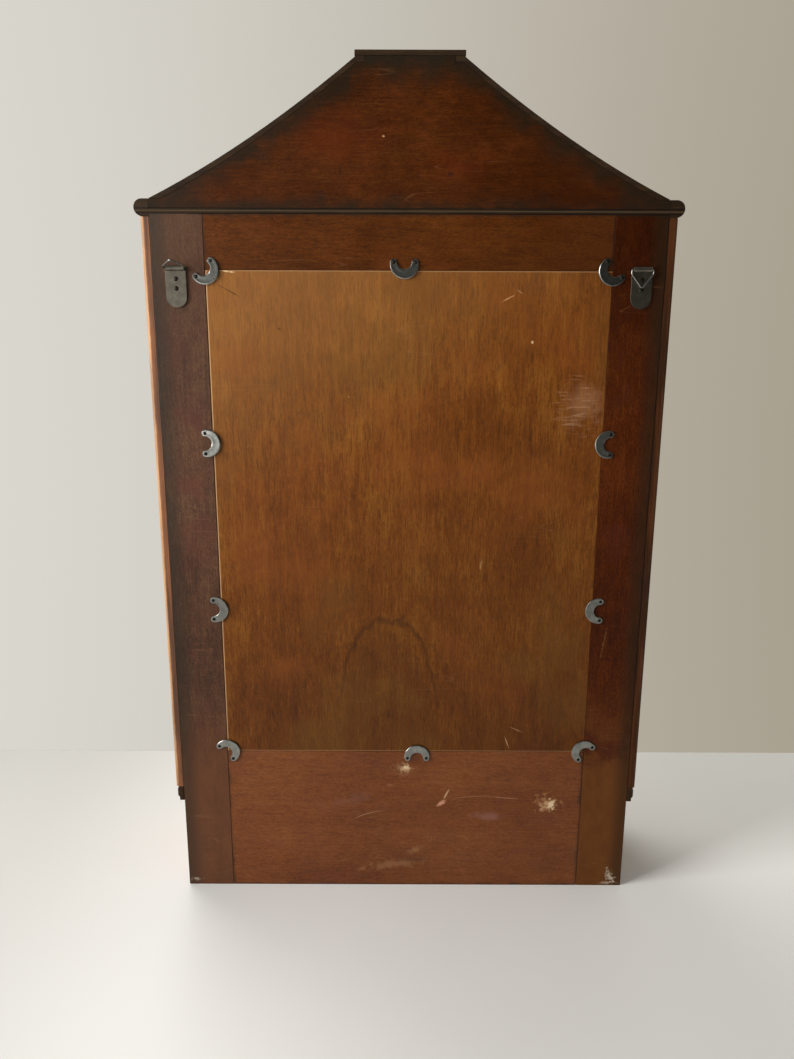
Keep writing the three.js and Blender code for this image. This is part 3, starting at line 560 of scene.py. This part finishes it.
def pediment_marks(g, colour, rough, noises):
    """Darker where the board meets the roof: the slope is a straight line that sags."""
    colour, rough = rail_wear_and_shade(g, colour, rough, noises)
    place = g.split(g.place)
    half = g.math("ABSOLUTE", place[X])
    run = ROOF_EAVE[0] - ROOF_TOP[0]
    along = g.math("MULTIPLY_ADD", half, 1 / run, -ROOF_TOP[0] / run, clamp=True)
    line = g.math("MULTIPLY_ADD", along, ROOF_EAVE[1] - ROOF_TOP[1], ROOF_TOP[1])
    sag = g.times(g.times(along, g.math("SUBTRACT", 1.0, along)), 4 * ROOF_SAG)
    below = g.math("SUBTRACT", g.math("SUBTRACT", line, sag), place[Z])
    ragged = g.math("MULTIPLY_ADD", g.math("SUBTRACT", g.noise(g.place, 40, 4, 0.65), 0.5), 0.05, below)
    colour = g.over(colour, GRIME_AND_SHADE, g.step(ragged, 0.034, 0.004), 0.8)
    for tint, centre, size in (((104, 38, 8), (60, 800), (70, 30)), ((92, 28, 4), (-40, 780), (50, 26))):
        colour = g.over(colour, tint, g.mark(centre, size, ragged=0.5, soft=0.95, grain=20), 0.3)
    return paint(g, colour, rough, [
        ((190, 140, 84), 0.8, (24.7, 802), (1.6, 1.6), 0, 0.3, 0.6),
        ((40, 20, 8), 0.7, (-39, 769), (4, 2.6), 0, 0.5, 0.7),
        ((40, 20, 8), 0.5, (66, 772), (1.4, 9), 0, 0.5, 0.7),
    ])


SHARP_ANGLE = math.radians(32)


def smooth_group():
    """Welds a faceted solid and shades it smooth except where its faces meet at an angle."""
    group = bpy.data.node_groups.new("welded_and_smooth", "GeometryNodeTree")
    for way in ("INPUT", "OUTPUT"):
        group.interface.new_socket("Geometry", in_out=way, socket_type="NodeSocketGeometry")
    add = group.nodes.new
    start, end = add("NodeGroupInput"), add("NodeGroupOutput")
    weld = add("GeometryNodeMergeByDistance")
    weld.inputs["Distance"].default_value = 2e-6
    plain = add("GeometryNodeRemoveAttribute")
    plain.inputs["Name"].default_value = "custom_normal"
    faces = add("GeometryNodeSetShadeSmooth")
    edges = add("GeometryNodeSetShadeSmooth")
    edges.domain = "EDGE"
    angle = add("GeometryNodeInputMeshEdgeAngle")
    compare = add("FunctionNodeCompare")
    compare.data_type, compare.operation = "FLOAT", "LESS_THAN"
    compare.inputs["B"].default_value = SHARP_ANGLE
    group.links.new(angle.outputs["Unsigned Angle"], compare.inputs["A"])
    group.links.new(compare.outputs["Result"], edges.inputs["Shade Smooth"])
    chain = (start, weld, plain, faces, edges, end)
    for before, after in zip(chain, chain[1:]):
        group.links.new(before.outputs[0], after.inputs[0])
    return group


SMOOTH = smooth_group()


def round_edges(obj, width, segments=2):
    """Welds and smooths an object and rounds its edges, all with modifiers, which leave its mesh as it is."""
    obj.modifiers.new("smooth", "NODES").node_group = SMOOTH
    if not width:
        return
    bevel = obj.modifiers.new("edges", "BEVEL")
    bevel.width = width
    bevel.segments = segments
    bevel.limit_method = "ANGLE"
    bevel.angle_limit = SHARP_ANGLE
    bevel.use_clamp_overlap = True
    faces = obj.modifiers.new("faces", "WEIGHTED_NORMAL")
    faces.keep_sharp = True
    faces.weight = 80


def dress(node, material, width, segments=2):
    """Gives a CAD node its material and rounded edges."""
    NODES[node].data.materials.clear()
    NODES[node].data.materials.append(material)
    round_edges(NODES[node], width, segments)


def back_frame():
    rich = dict(broad=0.16, streak=0.09, fibre=0.32, blotch=0.34, mottle=0.22, speck=0.5)
    for name, along, tones, seed, marks, contrast, specular in (
        ("back_stile_left", Z, SHADED_STILE_LEFT_TONES, 11, stile_marks("left"), 1.2, 0.12),
        ("back_stile_right", Z, SHEEN_STILE_RIGHT_TONES, 12, stile_marks("right"), 1.3, 0.28),
        ("back_top_rail", X, TOP_RAIL_TONES, 13, rail_wear_and_shade, 0.95, 0.15),
        ("back_bottom_rail", X, LOWER_RAIL_TONES, 14, lower_rail_marks, 1.0, 0.3),
        ("pediment_board", X, PEDIMENT_TONES, 15, pediment_marks, 0.95, 0.12),
    ):
        # Where grime and painted shade lie on each board, how strong it is and how far it reaches.
        edges = ((Z,), 0.75, 0.014) if name == "pediment_board" else ((X, Z), 0.7, 0.004)
        board = wood(name, along, tones, seed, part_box(name), *edges, pore=0.3, contrast=contrast, marks=marks,
                     specular=specular, weights=rich)
        dress(name, board, 0.5 * MM)
    even = dict(broad=0.2, streak=0.2, fibre=0.34, blotch=0.3, mottle=0.24, speck=0.3)
    panel = wood("back_panel", Z, PANEL_TONES, 16, gloss=0.55, pore=0.45, pore_scale=900, marks=panel_marks,
                 specular=0.2, weights=even)
    dress("back_panel", panel, 0.4 * MM)


def cornice_marks(g, colour, rough, noises):
    """Fine black joints along the cornice's end grain, and a paler line between them that is a painted
    highlight.
    """
    place = g.split(g.place)
    back = g.step(place[Y], BACK_Y - 3 * MM, BACK_Y - 1 * MM)
    # The paler line at 735.8 mm is a painted highlight; the other two are dark joints.
    for height, width, tint in ((738, 0.9, (10, 8, 4)), (733.4, 0.8, (10, 8, 4)), (735.8, 0.7, (84, 70, 48))):
        away = g.math("ABSOLUTE", g.math("SUBTRACT", place[Z], height * MM))
        line = g.step(away, width * MM, 0.3 * width * MM)
        colour = g.over(colour, tint, g.times(line, back), 0.75)
    return colour, rough


DARK_ENDS = {  # by the framed back: the colour, how far it reaches in, and how strong it is
    "cornice": (SOOT, 0.022, 0.95), "roof_cap": (SOOT, 0.016, 0.95),
    "roof_skin_left": (SOOT, 0.014, 0.95), "roof_skin_right": (SOOT, 0.014, 0.95),
    # side_board_left is away from the window: its dark end is painted shade.
    "side_board_left": (SHADE_SIDE_EDGE, 0.008, 0.95), "side_board_right": (EDGE_BROWN, 0.008, 0.9),
    "lower_side_left": (EDGE_BROWN, 0.01, 0.9), "lower_side_right": (EDGE_BROWN, 0.01, 0.9),
    "waist_moulding_left": (SOOT, 0.022, 0.9), "waist_moulding_right": (SOOT, 0.022, 0.9),
}
# Painted highlight with some wear on the side boards' outer back corners, far stronger on the window's side.
HIGHLIGHT_AND_WEAR_SIDES = {"side_board_left": 0.12, "side_board_right": 0.95}
OUTER_BOARDS = {
    "side_board_left": Z, "side_board_right": Z, "lower_side_left": Z, "lower_side_right": Z, "base_board": X,
    "cornice": X, "roof_cap": X, "roof_skin_left": X, "roof_skin_right": X, "roof_skin_front": X,
    "waist_moulding_left": Y, "waist_moulding_right": Y, "waist_moulding_front": X, "door_stile_left": Z,
    "door_stile_right": Z, "door_top_rail": X, "door_bottom_rail": X, "drawer_front": X,
}
INNER_BOARDS = {
    "deck_board": X, "shelf": X, "hook_rail": X, "drawer_side_left": Y, "drawer_side_right": Y,
    "drawer_back": X, "drawer_bottom": X,
}


def case():
    for seed, (name, along) in enumerate(OUTER_BOARDS.items(), 30):
        dull = DARK_ENDS.get(name, (None,))[0] in (SOOT, SHADE_SIDE_EDGE)
        marks = cornice_marks if name == "cornice" else None
        board = wood(name, along, CASE_TONES, seed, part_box(name), gloss=0.38, coat=0.25, marks=marks,
                     specular=0.15 if dull else 0.5, dark_end=DARK_ENDS.get(name),
                     highlight_and_wear=HIGHLIGHT_AND_WEAR_SIDES.get(name, 0.0))
        dress(name, board, 1.0 * MM if name.startswith(("door", "drawer", "base", "lower")) else 0.6 * MM, 3)
    for seed, (name, along) in enumerate(INNER_BOARDS.items(), 60):
        dress(name, wood(name, along, INNER_TONES, seed, gloss=0.6), 0.6 * MM)


def metal(name, dark, light, roughness, seed):
    """Worn metal, from tarnish to bare metal."""
    g = Graph(name)
    chance = random.Random(seed)
    place = g.moved(g.place, tuple(chance.uniform(-2, 2) for _ in range(3)))
    stain = g.noise(place, 120, 5, 0.65)
    fine = g.noise(place, 1500, 3, 0.6)
    brushed = g.noise(g.moved(place, scale=(1, 1, 0.06)), 1800, 2)
    worn = g.math("MULTIPLY_ADD", fine, 0.3, g.times(stain, 0.7))
    g.set(Base_Color=g.ramp(worn, [(0.34, dark), (0.66, light)]))
    g.set(Metallic=1.0, Roughness=g.math("MULTIPLY_ADD", stain, -0.2, roughness + 0.1))
    g.bump(fine, 0.12, 0.00008)
    g.bump(brushed, 0.12, 0.00005)
    g.bump(stain, 0.15, 0.0003)
    return g.material


def velvet():
    """Short pile: dark where it is seen straight on, paler along its edges, brushed this way and that."""
    g = Graph("velvet")
    nap = g.noise(g.place, 26, 3, 0.6)
    pile = g.noise(g.place, 2200, 2, 0.6)
    tone = g.math("MULTIPLY_ADD", pile, 0.4, g.times(nap, 0.6))
    g.set(Base_Color=g.ramp(tone, [(0.3, (74, 10, 20)), (0.5, (92, 15, 28)), (0.7, (112, 24, 40))]))
    g.set(Roughness=0.92, Sheen_Weight=0.7, Sheen_Roughness=0.35, Sheen_Tint=(*srgb(226, 130, 140), 1))
    g.bump(pile, 0.4, 0.0002)
    g.bump(nap, 0.2, 0.0008)
    return g.material


def looking_glass():
    """Silvered glass with a little age at its edges."""
    g = Graph("looking_glass")
    inside = g.math("MULTIPLY_ADD", g.math("SUBTRACT", g.noise(g.place, 60, 5, 0.7), 0.5), 0.02,
                    g.edge_distance(*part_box("door_mirror"), (X, Z)))
    aged = g.times(g.step(inside, 0.0135, 0.004), 0.4)
    g.set(Base_Color=g.mix(aged, (222, 227, 226), (112, 104, 88)))
    haze = g.noise(g.place, 12, 3)
    g.set(Metallic=1.0, Roughness=g.between(aged, g.math("MULTIPLY_ADD", haze, 0.04, 0.005), 0.3))
    g.bump(haze, 0.02, 0.0002)
    return g.material


# ---- pieces
def piece(name, body, material, solids, replaces=(), bevel=0.0):
    """One object made of solids, each a list of corners and a list of faces."""
    made = bmesh.new()
    for corners, faces in solids:
        placed = [made.verts.new(corner) for corner in corners]
        for face in faces:
            made.faces.new([placed[index] for index in face])
    bmesh.ops.remove_doubles(made, verts=made.verts, dist=1e-6)
    bmesh.ops.recalc_face_normals(made, faces=made.faces)
    mesh = bpy.data.meshes.new(name)
    made.to_mesh(mesh)
    made.free()
    mesh.materials.append(material)
    obj = bpy.data.objects.new(name, mesh)
    bpy.context.scene.collection.objects.link(obj)
    round_edges(obj, bevel, 3)
    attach(obj, body)
    if replaces:
        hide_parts(*replaces)
    return obj


def loft(rings, looped=False):
    """A skin through rings of points, closed at its ends unless it loops."""
    count = len(rings[0])
    corners = [point for ring in rings for point in ring]
    faces = []
    for number in range(len(rings) - (0 if looped else 1)):
        here, there = number * count, (number + 1) % len(rings) * count
        for i in range(count):
            j = (i + 1) % count
            faces.append((here + i, here + j, there + j, there + i))
    if not looped:
        faces += [tuple(range(count)), tuple(range(len(corners) - count, len(corners)))]
    return corners, faces


def smoothed(points, steps=4):
    """More points on a smooth line through the given ones."""
    points = [Vector(point) for point in points]
    run = []
    for i in range(len(points) - 1):
        a, b, c, d = points[max(i - 1, 0)], points[i], points[i + 1], points[min(i + 2, len(points) - 1)]
        for step in range(steps):
            t = step / steps
            bend, twist = 2 * a - 5 * b + 4 * c - d, 3 * b - 3 * c + d - a
            run.append(0.5 * (2 * b + (c - a) * t + bend * t**2 + twist * t**3))
    return run + [points[-1]]


FORWARD, BACKWARD = Vector((0, -1, 0)), Vector((0, 1, 0))


def turned(profile, place, sides, outward=FORWARD):
    """A turned solid: profile is (radius, height) in millimetres, from place along outward."""
    across = outward.orthogonal().normalized()
    other = outward.cross(across)
    rings = []
    for radius, height in profile:
        radius = max(radius, 0.02) * MM
        middle = Vector(place) + outward * height * MM
        rings.append([middle + radius * (math.cos(a) * across + math.sin(a) * other)
                      for a in (math.tau * i / sides for i in range(sides))])
    return loft(rings)


def framed(low, high, profile):
    """A mitred frame in the XZ plane: profile is (how far in from the outline, y) in metres."""
    rings = []
    for x, z, in_x, in_z in (
        (low.x, low.z, 1, 1), (high.x, low.z, -1, 1), (high.x, high.z, -1, -1), (low.x, high.z, 1, -1),
    ):
        rings.append([Vector((x + in_x * inset, y, z + in_z * inset)) for inset, y in profile])
    return loft(rings, looped=True)


CLIP_RADIUS, CLIP_TIP = 14.0, 3.4
CLIP_REACH = CLIP_RADIUS - CLIP_TIP  # from the outer circle's middle to the middle of each tip
CLIP_END = math.radians(98.1)  # from the belly to the middle of each tip
CLIP_INNER_BACK, CLIP_INNER_RADIUS = 2.11, 7.11  # how far the inner circle is set back, and its radius
CLIP_STEPS, CLIP_TIP_STEPS, CLIP_TIP_TURN = 40, 6, math.radians(13.5)
CLIP_BELLIES = {  # the way each crescent bulges, in degrees from +X towards +Z
    "top_left": -45, "top_middle": -90, "top_right": -135, "upper_left": 0, "upper_right": 180,
    "lower_left": 0, "lower_right": 180, "bottom_left": 45, "bottom_middle": 90, "bottom_right": 135,
}
CLIP_SECTION = (  # across the crescent from 0 to 1, and the height in millimetres
    (0, 0), (0, 1.0), (0.04, 1.28), (0.12, 1.36), (0.26, 1.28), (0.5, 1.25), (0.74, 1.28), (0.88, 1.36),
    (0.96, 1.28), (1, 1.0), (1, 0),
)


def clip_shape(name, belly):
    """A pressed crescent with raised rims, and the places of its two nails."""
    low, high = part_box(name)
    turn = math.radians(belly)
    middle = []
    for axis, part in ((X, math.cos(turn)), (Z, math.sin(turn))):
        if abs(part) < 0.1:
            middle.append((low[axis] + high[axis]) / 2)
        else:
            middle.append(high[axis] - CLIP_RADIUS * MM if part > 0 else low[axis] + CLIP_RADIUS * MM)

    def at(radius, angle, along=0.0, height=0.0):
        """A point by polar place about the belly, moved along the arc's direction there."""
        way = turn + angle
        x = middle[0] + (radius * math.cos(way) - along * math.sin(way)) * MM
        z = middle[1] + (radius * math.sin(way) + along * math.cos(way)) * MM
        return Vector((x, low.y - 0.3 * MM + height * MM, z))

    def section(inner, outer, angle, along=0.0, full=1.0):
        return [at(inner + share * (outer - inner), angle, along, height * full + 0.3 * (height > 0))
                for share, height in CLIP_SECTION]

    def tip(side, step):
        lean = CLIP_TIP_TURN * step
        half, along = CLIP_TIP * math.cos(lean), CLIP_TIP * math.sin(lean)
        return section(CLIP_REACH - half, CLIP_REACH + half, side * CLIP_END, side * along,
                       0.75 + 0.25 * math.cos(lean))

    rings = [tip(-1, step) for step in range(CLIP_TIP_STEPS, 0, -1)]
    for step in range(CLIP_STEPS + 1):
        angle = CLIP_END * (2 * step / CLIP_STEPS - 1)
        back = CLIP_INNER_BACK * math.cos(angle)
        inner = math.sqrt(back**2 + CLIP_INNER_RADIUS**2 - CLIP_INNER_BACK**2) - back
        rings.append(section(inner, CLIP_RADIUS, angle))
    rings += [tip(1, step) for step in range(1, CLIP_TIP_STEPS + 1)]
    nails = [turned(NAIL, at(CLIP_REACH, side * CLIP_END, height=1.0), 16, BACKWARD) for side in (-1, 1)]
    return loft(rings), nails


RING_PATH = ((-10.5, 0), (-10.5, 4.2), (0, 17.7), (10.5, 4.2), (10.5, 0))
RING_BENDS = (1.6, 2.2, 2.2, 2.2, 1.6)
RING_WIRE, RING_SIDES = 0.9, 12
RING_LEAN = {"left": 180, "right": -70}  # from straight up, about +X
BEND_STEPS = 6


def rounded_path(corners, bends):
    """A closed outline with each corner rounded by its bend radius."""
    run = []
    count = len(corners)
    for i, bend in enumerate(bends):
        before, here, after = (Vector(corners[(i + k) % count]) for k in (-1, 0, 1))
        back, ahead = (before - here).normalized(), (after - here).normalized()
        half = back.angle(ahead) / 2
        reach = min(bend / math.tan(half), 0.45 * (before - here).length, 0.45 * (after - here).length)
        start, end = here + back * reach, here + ahead * reach
        for step in range(BEND_STEPS + 1):
            t = step / BEND_STEPS
            run.append((1 - t) ** 2 * start + 2 * t * (1 - t) * here + t**2 * end)
    return run


def hanger_ring(side, pivot):
    """The bent wire triangle in its rest place, turning about the plate's rolled edge."""
    turn = Matrix.Rotation(math.radians(RING_LEAN[side]), 3, "X")
    path = rounded_path(RING_PATH, RING_BENDS)
    rings = []
    for i, here in enumerate(path):
        along = (path[(i + 1) % len(path)] - path[i - 1]).normalized()
        across = Vector((-along.y, along.x))
        ring = []
        for step in range(RING_SIDES):
            a = math.tau * step / RING_SIDES
            flat = here + RING_WIRE * math.cos(a) * across
            ring.append(Vector(pivot) + turn @ Vector((flat.x, RING_WIRE * math.sin(a), flat.y)) * MM)
        rings.append(ring)
    return loft(rings, looped=True)


HANGER_PIVOT = (0.072, 0.6829)  # y and z of the plates' rolled edges
HANGER_SCREW_Y, HANGER_SCREW_Z = 1.55 * MM, (0.664, 0.673)
STRIKE_CORNERS = ((-5, -13), (5, -13), (5, 13), (-5, 13))
STRIKE_BEND, STRIKE_SCREW_Z = 2.5, 9

# Turned outlines: (radius, height) in millimetres
NAIL = ((1.9, 0), (1.9, 0.4), (1.6, 0.85), (1.0, 1.15), (0.4, 1.25), (0, 1.25))
HANGER_SCREW = ((2.3, 0), (2.3, 0.3), (1.9, 0.6), (1.0, 0.85), (0, 0.9))
STRIKE_SCREW = ((2.0, 0), (2.0, 0.3), (1.4, 0.8), (0, 1.0))
STRIKE_BOSS = ((4, 0), (4, 1.8), (3.6, 2.2), (0, 2.2))
KNOB = (
    (0, 0), (7, 0), (7.2, 1), (6.6, 2.2), (3.6, 3.4), (3.1, 6), (3.6, 8.8), (6.2, 11), (8.6, 14.2), (9, 16.4),
    (8.3, 19.2), (5.6, 21.8), (2.6, 22.8), (0, 23),
)
PEG = (
    (0, 0), (4.4, 0), (4.6, 0.8), (4.0, 1.6), (2.4, 2.2), (2.1, 6), (2.0, 14), (2.2, 18), (3.4, 19.4),
    (4.2, 21), (3.8, 22.8), (2.2, 23.5), (0, 23.6),
)


def middle_of(node):
    low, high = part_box(node)
    return (low + high) / 2


def hardware():
    steel = metal("dull_steel", (112, 114, 110), (160, 160, 154), 0.3, 1)
    plate = metal("plate_steel", (88, 84, 74), (128, 122, 110), 0.4, 3)
    dark_iron = metal("dark_iron", (26, 23, 20), (62, 56, 50), 0.5, 4)
    brass = metal("aged_brass", (142, 106, 52), (206, 168, 98), 0.26, 2)
    nails = []
    for place, belly in CLIP_BELLIES.items():
        name = "clip_" + place
        shape, heads = clip_shape(name, belly)
        piece("crescent_" + place, "case", steel, [shape], [name])
        nails += heads
    piece("clip_nails", "case", dark_iron, nails)
    screws = []
    for side in SIDES:
        name = f"hanger_plate_{side}"
        dress(name, plate, 0.25 * MM)
        x = middle_of(name).x
        for z in HANGER_SCREW_Z:
            screws.append(turned(HANGER_SCREW, (x, BACK_Y + HANGER_SCREW_Y, z), 20, BACKWARD))
        piece(f"hanger_wire_{side}", f"ring_{side}", steel, [hanger_ring(side, (x, *HANGER_PIVOT))],
              [f"hanger_ring_{side}"])
    piece("hanger_screws", "case", dark_iron, screws)
    fittings = [("door_knob", "door", KNOB, 48), ("drawer_knob", "drawer", KNOB, 48)]
    fittings += [(f"hook_{number}", "case", PEG, 32) for number in range(1, 5)]
    for name, body, profile, sides in fittings:
        middle = middle_of(name)
        foot = (middle.x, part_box(name)[1].y, middle.z)
        outline = [(point.x, point.y) for point in smoothed(profile)]
        piece("turned_" + name, body, brass, [turned(outline, foot, sides)], [name])
    for name in NODES:
        if name.startswith("hinge_"):
            dress(name, brass, 0.2 * MM)
    dress("catch_magnet", plate, 0.8 * MM, 3)
    strike_plate(steel)


def strike_plate(material):
    """The steel plate on the door's inside that meets the magnet, with two screws and a boss."""
    middle = middle_of("catch_magnet")
    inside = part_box("door_stile_right")[1].y

    def at(x, rise, z):
        return Vector((middle.x + x * MM, inside + rise * MM, middle.z + z * MM))

    outline = rounded_path(STRIKE_CORNERS, (STRIKE_BEND,) * 4)
    solids = [loft([[at(point.x, rise, point.y) for point in outline] for rise in (-0.1, 0.9)])]
    solids += [turned(STRIKE_SCREW, at(0, 0.8, z), 20, BACKWARD) for z in (-STRIKE_SCREW_Z, STRIKE_SCREW_Z)]
    solids.append(turned(STRIKE_BOSS, at(0, 0.6, 0), 32, BACKWARD))
    piece("strike_plate", "door", material, solids, bevel=0.2 * MM)


DOOR_BEAD = (
    (-8, 1), (-8, -0.6), (-7, -1.6), (-5.4, -2.0), (-3.4, -2.4), (-1.6, -2.0), (-0.6, -0.8), (-0.4, 1),
)
DRAWER_BEAD = ((0.2, 1), (0.2, -1.0), (0.9, -1.6), (2.0, -1.6), (2.8, -1.0), (3.0, 1))
MIRROR_SLOPE, MIRROR_BEVEL = 12 * MM, 0.9 * MM


def bead(name, body, low, high, face, section, along, seed):
    """A moulding round an opening: section is (how far in, how far behind the face) in millimetres."""
    profile = [(inset * MM, face + out * MM) for inset, out in section]
    piece(name, body, wood(name, along, CASE_TONES, seed, gloss=0.36, coat=0.3),
          [framed(low, high, profile)])


def door_and_drawer():
    low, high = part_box("door_mirror")
    rings = []
    for inset, y in ((0, high.y), (0, low.y + MIRROR_BEVEL), (MIRROR_SLOPE, low.y)):
        left, right, foot, top = low.x + inset, high.x - inset, low.z + inset, high.z - inset
        rings.append([Vector((x, y, z)) for x, z in ((left, foot), (right, foot), (right, top), (left, top))])
    piece("bevelled_mirror", "door", looking_glass(), [loft(rings)], ["door_mirror"])
    left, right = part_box("door_stile_left"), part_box("door_stile_right")
    foot = Vector((left[1].x, 0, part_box("door_bottom_rail")[1].z))
    top = Vector((right[0].x, 0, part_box("door_top_rail")[0].z))
    bead("door_bead", "door", foot, top, left[0].y, DOOR_BEAD, Z, 81)
    low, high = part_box("drawer_front")
    bead("drawer_bead", "drawer", low, high, low.y, DRAWER_BEAD, X, 82)
    pile = velvet()
    for name in ("velvet_board", "door_backing"):
        dress(name, pile, 1.2 * MM, 3)
    ring_rolls(pile)


ROLLS = 5
ROLL_STEPS, ROLL_SIDES = 24, 20
ROLL_FILL = 0.44  # each roll's half-width before the cloth swells, as a share of its room
ROLL_LIMIT = 0.52  # the same, at most, after it
CLOTH_VOXEL, CLOTH_PRESSURE, CLOTH_FRAMES, CLOTH_CAP = 0.004, 4, 20, 2.5 * MM


def ring_rolls(material):
    """The ring cushion: padded rolls side by side, which hold rings in the folds between them."""
    low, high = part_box("ring_cushion")
    length, depth, height = high - low
    width = depth / ROLLS
    roll = swollen(length, width, height)
    made = bmesh.new()
    chance = random.Random(5)
    for number in range(ROLLS):
        before = len(made.verts)
        made.from_mesh(roll)
        made.verts.ensure_lookup_table()
        wave, lift = chance.uniform(0, math.tau), chance.uniform(0.95, 1.0)
        for vert in made.verts[before:]:
            sway = 0.5 * MM * math.sin(22 * vert.co.x + wave)
            vert.co.z *= lift
            vert.co += Vector(((low.x + high.x) / 2, low.y + (number + 0.5) * width + sway, low.z))
    mesh = bpy.data.meshes.new("ring_cushion_rolls")
    made.to_mesh(mesh)
    made.free()
    for face in mesh.polygons:
        face.use_smooth = True
    mesh.materials.append(material)
    cushion = bpy.data.objects.new("ring_cushion_rolls", mesh)
    bpy.context.scene.collection.objects.link(cushion)
    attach(cushion, "drawer")
    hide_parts("ring_cushion")


def swollen(length, width, height):
    """One roll along X, on z = 0 about the origin, blown up as cloth and held to its size."""
    rings = []
    for step in range(-ROLL_STEPS, ROLL_STEPS + 1):
        share = step / ROLL_STEPS
        pull = (1 - abs(share) ** 9) ** 0.5 if abs(share) < 1 else 0.0
        pull = max(pull, 0.12)
        ring = []
        for a in (math.tau * i / ROLL_SIDES for i in range(ROLL_SIDES)):
            c, s = math.cos(a), math.sin(a)
            y = ROLL_FILL * width * pull * math.copysign(abs(c) ** 0.7, c)
            z = height / 2 + ROLL_FILL * height * (0.6 + 0.4 * pull) * math.copysign(abs(s) ** 0.8, s)
            ring.append(Vector((share * (length / 2 - 2 * MM), y, z)))
        rings.append(ring)
    corners, faces = loft(rings)
    mesh = bpy.data.meshes.new("roll")
    mesh.from_pydata(corners, [], faces)
    scratch = bpy.data.objects.new("roll", mesh)
    bpy.context.scene.collection.objects.link(scratch)
    remesh = scratch.modifiers.new("remesh", "REMESH")
    remesh.mode, remesh.voxel_size = "VOXEL", CLOTH_VOXEL
    mesh = applied(scratch)
    start = [vert.co.copy() for vert in mesh.vertices]
    scratch.modifiers.clear()
    scratch.data = mesh
    cloth = scratch.modifiers.new("cloth", "CLOTH")
    cloth.settings.use_pressure = True
    cloth.settings.uniform_pressure_force = CLOTH_PRESSURE
    cloth.settings.effector_weights.gravity = 0
    scene = bpy.context.scene
    for number in range(1, CLOTH_FRAMES + 1):
        scene.frame_set(number)
    mesh = applied(scratch)
    scene.frame_set(1)
    for vert, place in zip(mesh.vertices, start):
        moved = vert.co - place
        if moved.length > CLOTH_CAP:
            vert.co = place + moved * (CLOTH_CAP / moved.length)
    for vert in mesh.vertices:
        vert.co.z = min(max(vert.co.z, 0.0), height)
        vert.co.y = min(max(vert.co.y, -ROLL_LIMIT * width), ROLL_LIMIT * width)
        vert.co.x = min(max(vert.co.x, -length / 2), length / 2)
    scratch.modifiers.clear()
    scratch.data = mesh
    finer = scratch.modifiers.new("finer", "SUBSURF")
    finer.levels = finer.render_levels = 1
    mesh = applied(scratch)
    bpy.data.objects.remove(scratch)
    return mesh


def applied(obj):
    """The object's mesh with its modifiers applied."""
    bpy.context.view_layer.update()
    depsgraph = bpy.context.evaluated_depsgraph_get()
    return bpy.data.meshes.new_from_object(obj.evaluated_get(depsgraph))


def main():
    make_camera()
    make_world()
    for name, settings in LIGHTS.items():
        area_light(name, **settings)
    make_floor()
    back_frame()
    case()
    hardware()
    door_and_drawer()


main()
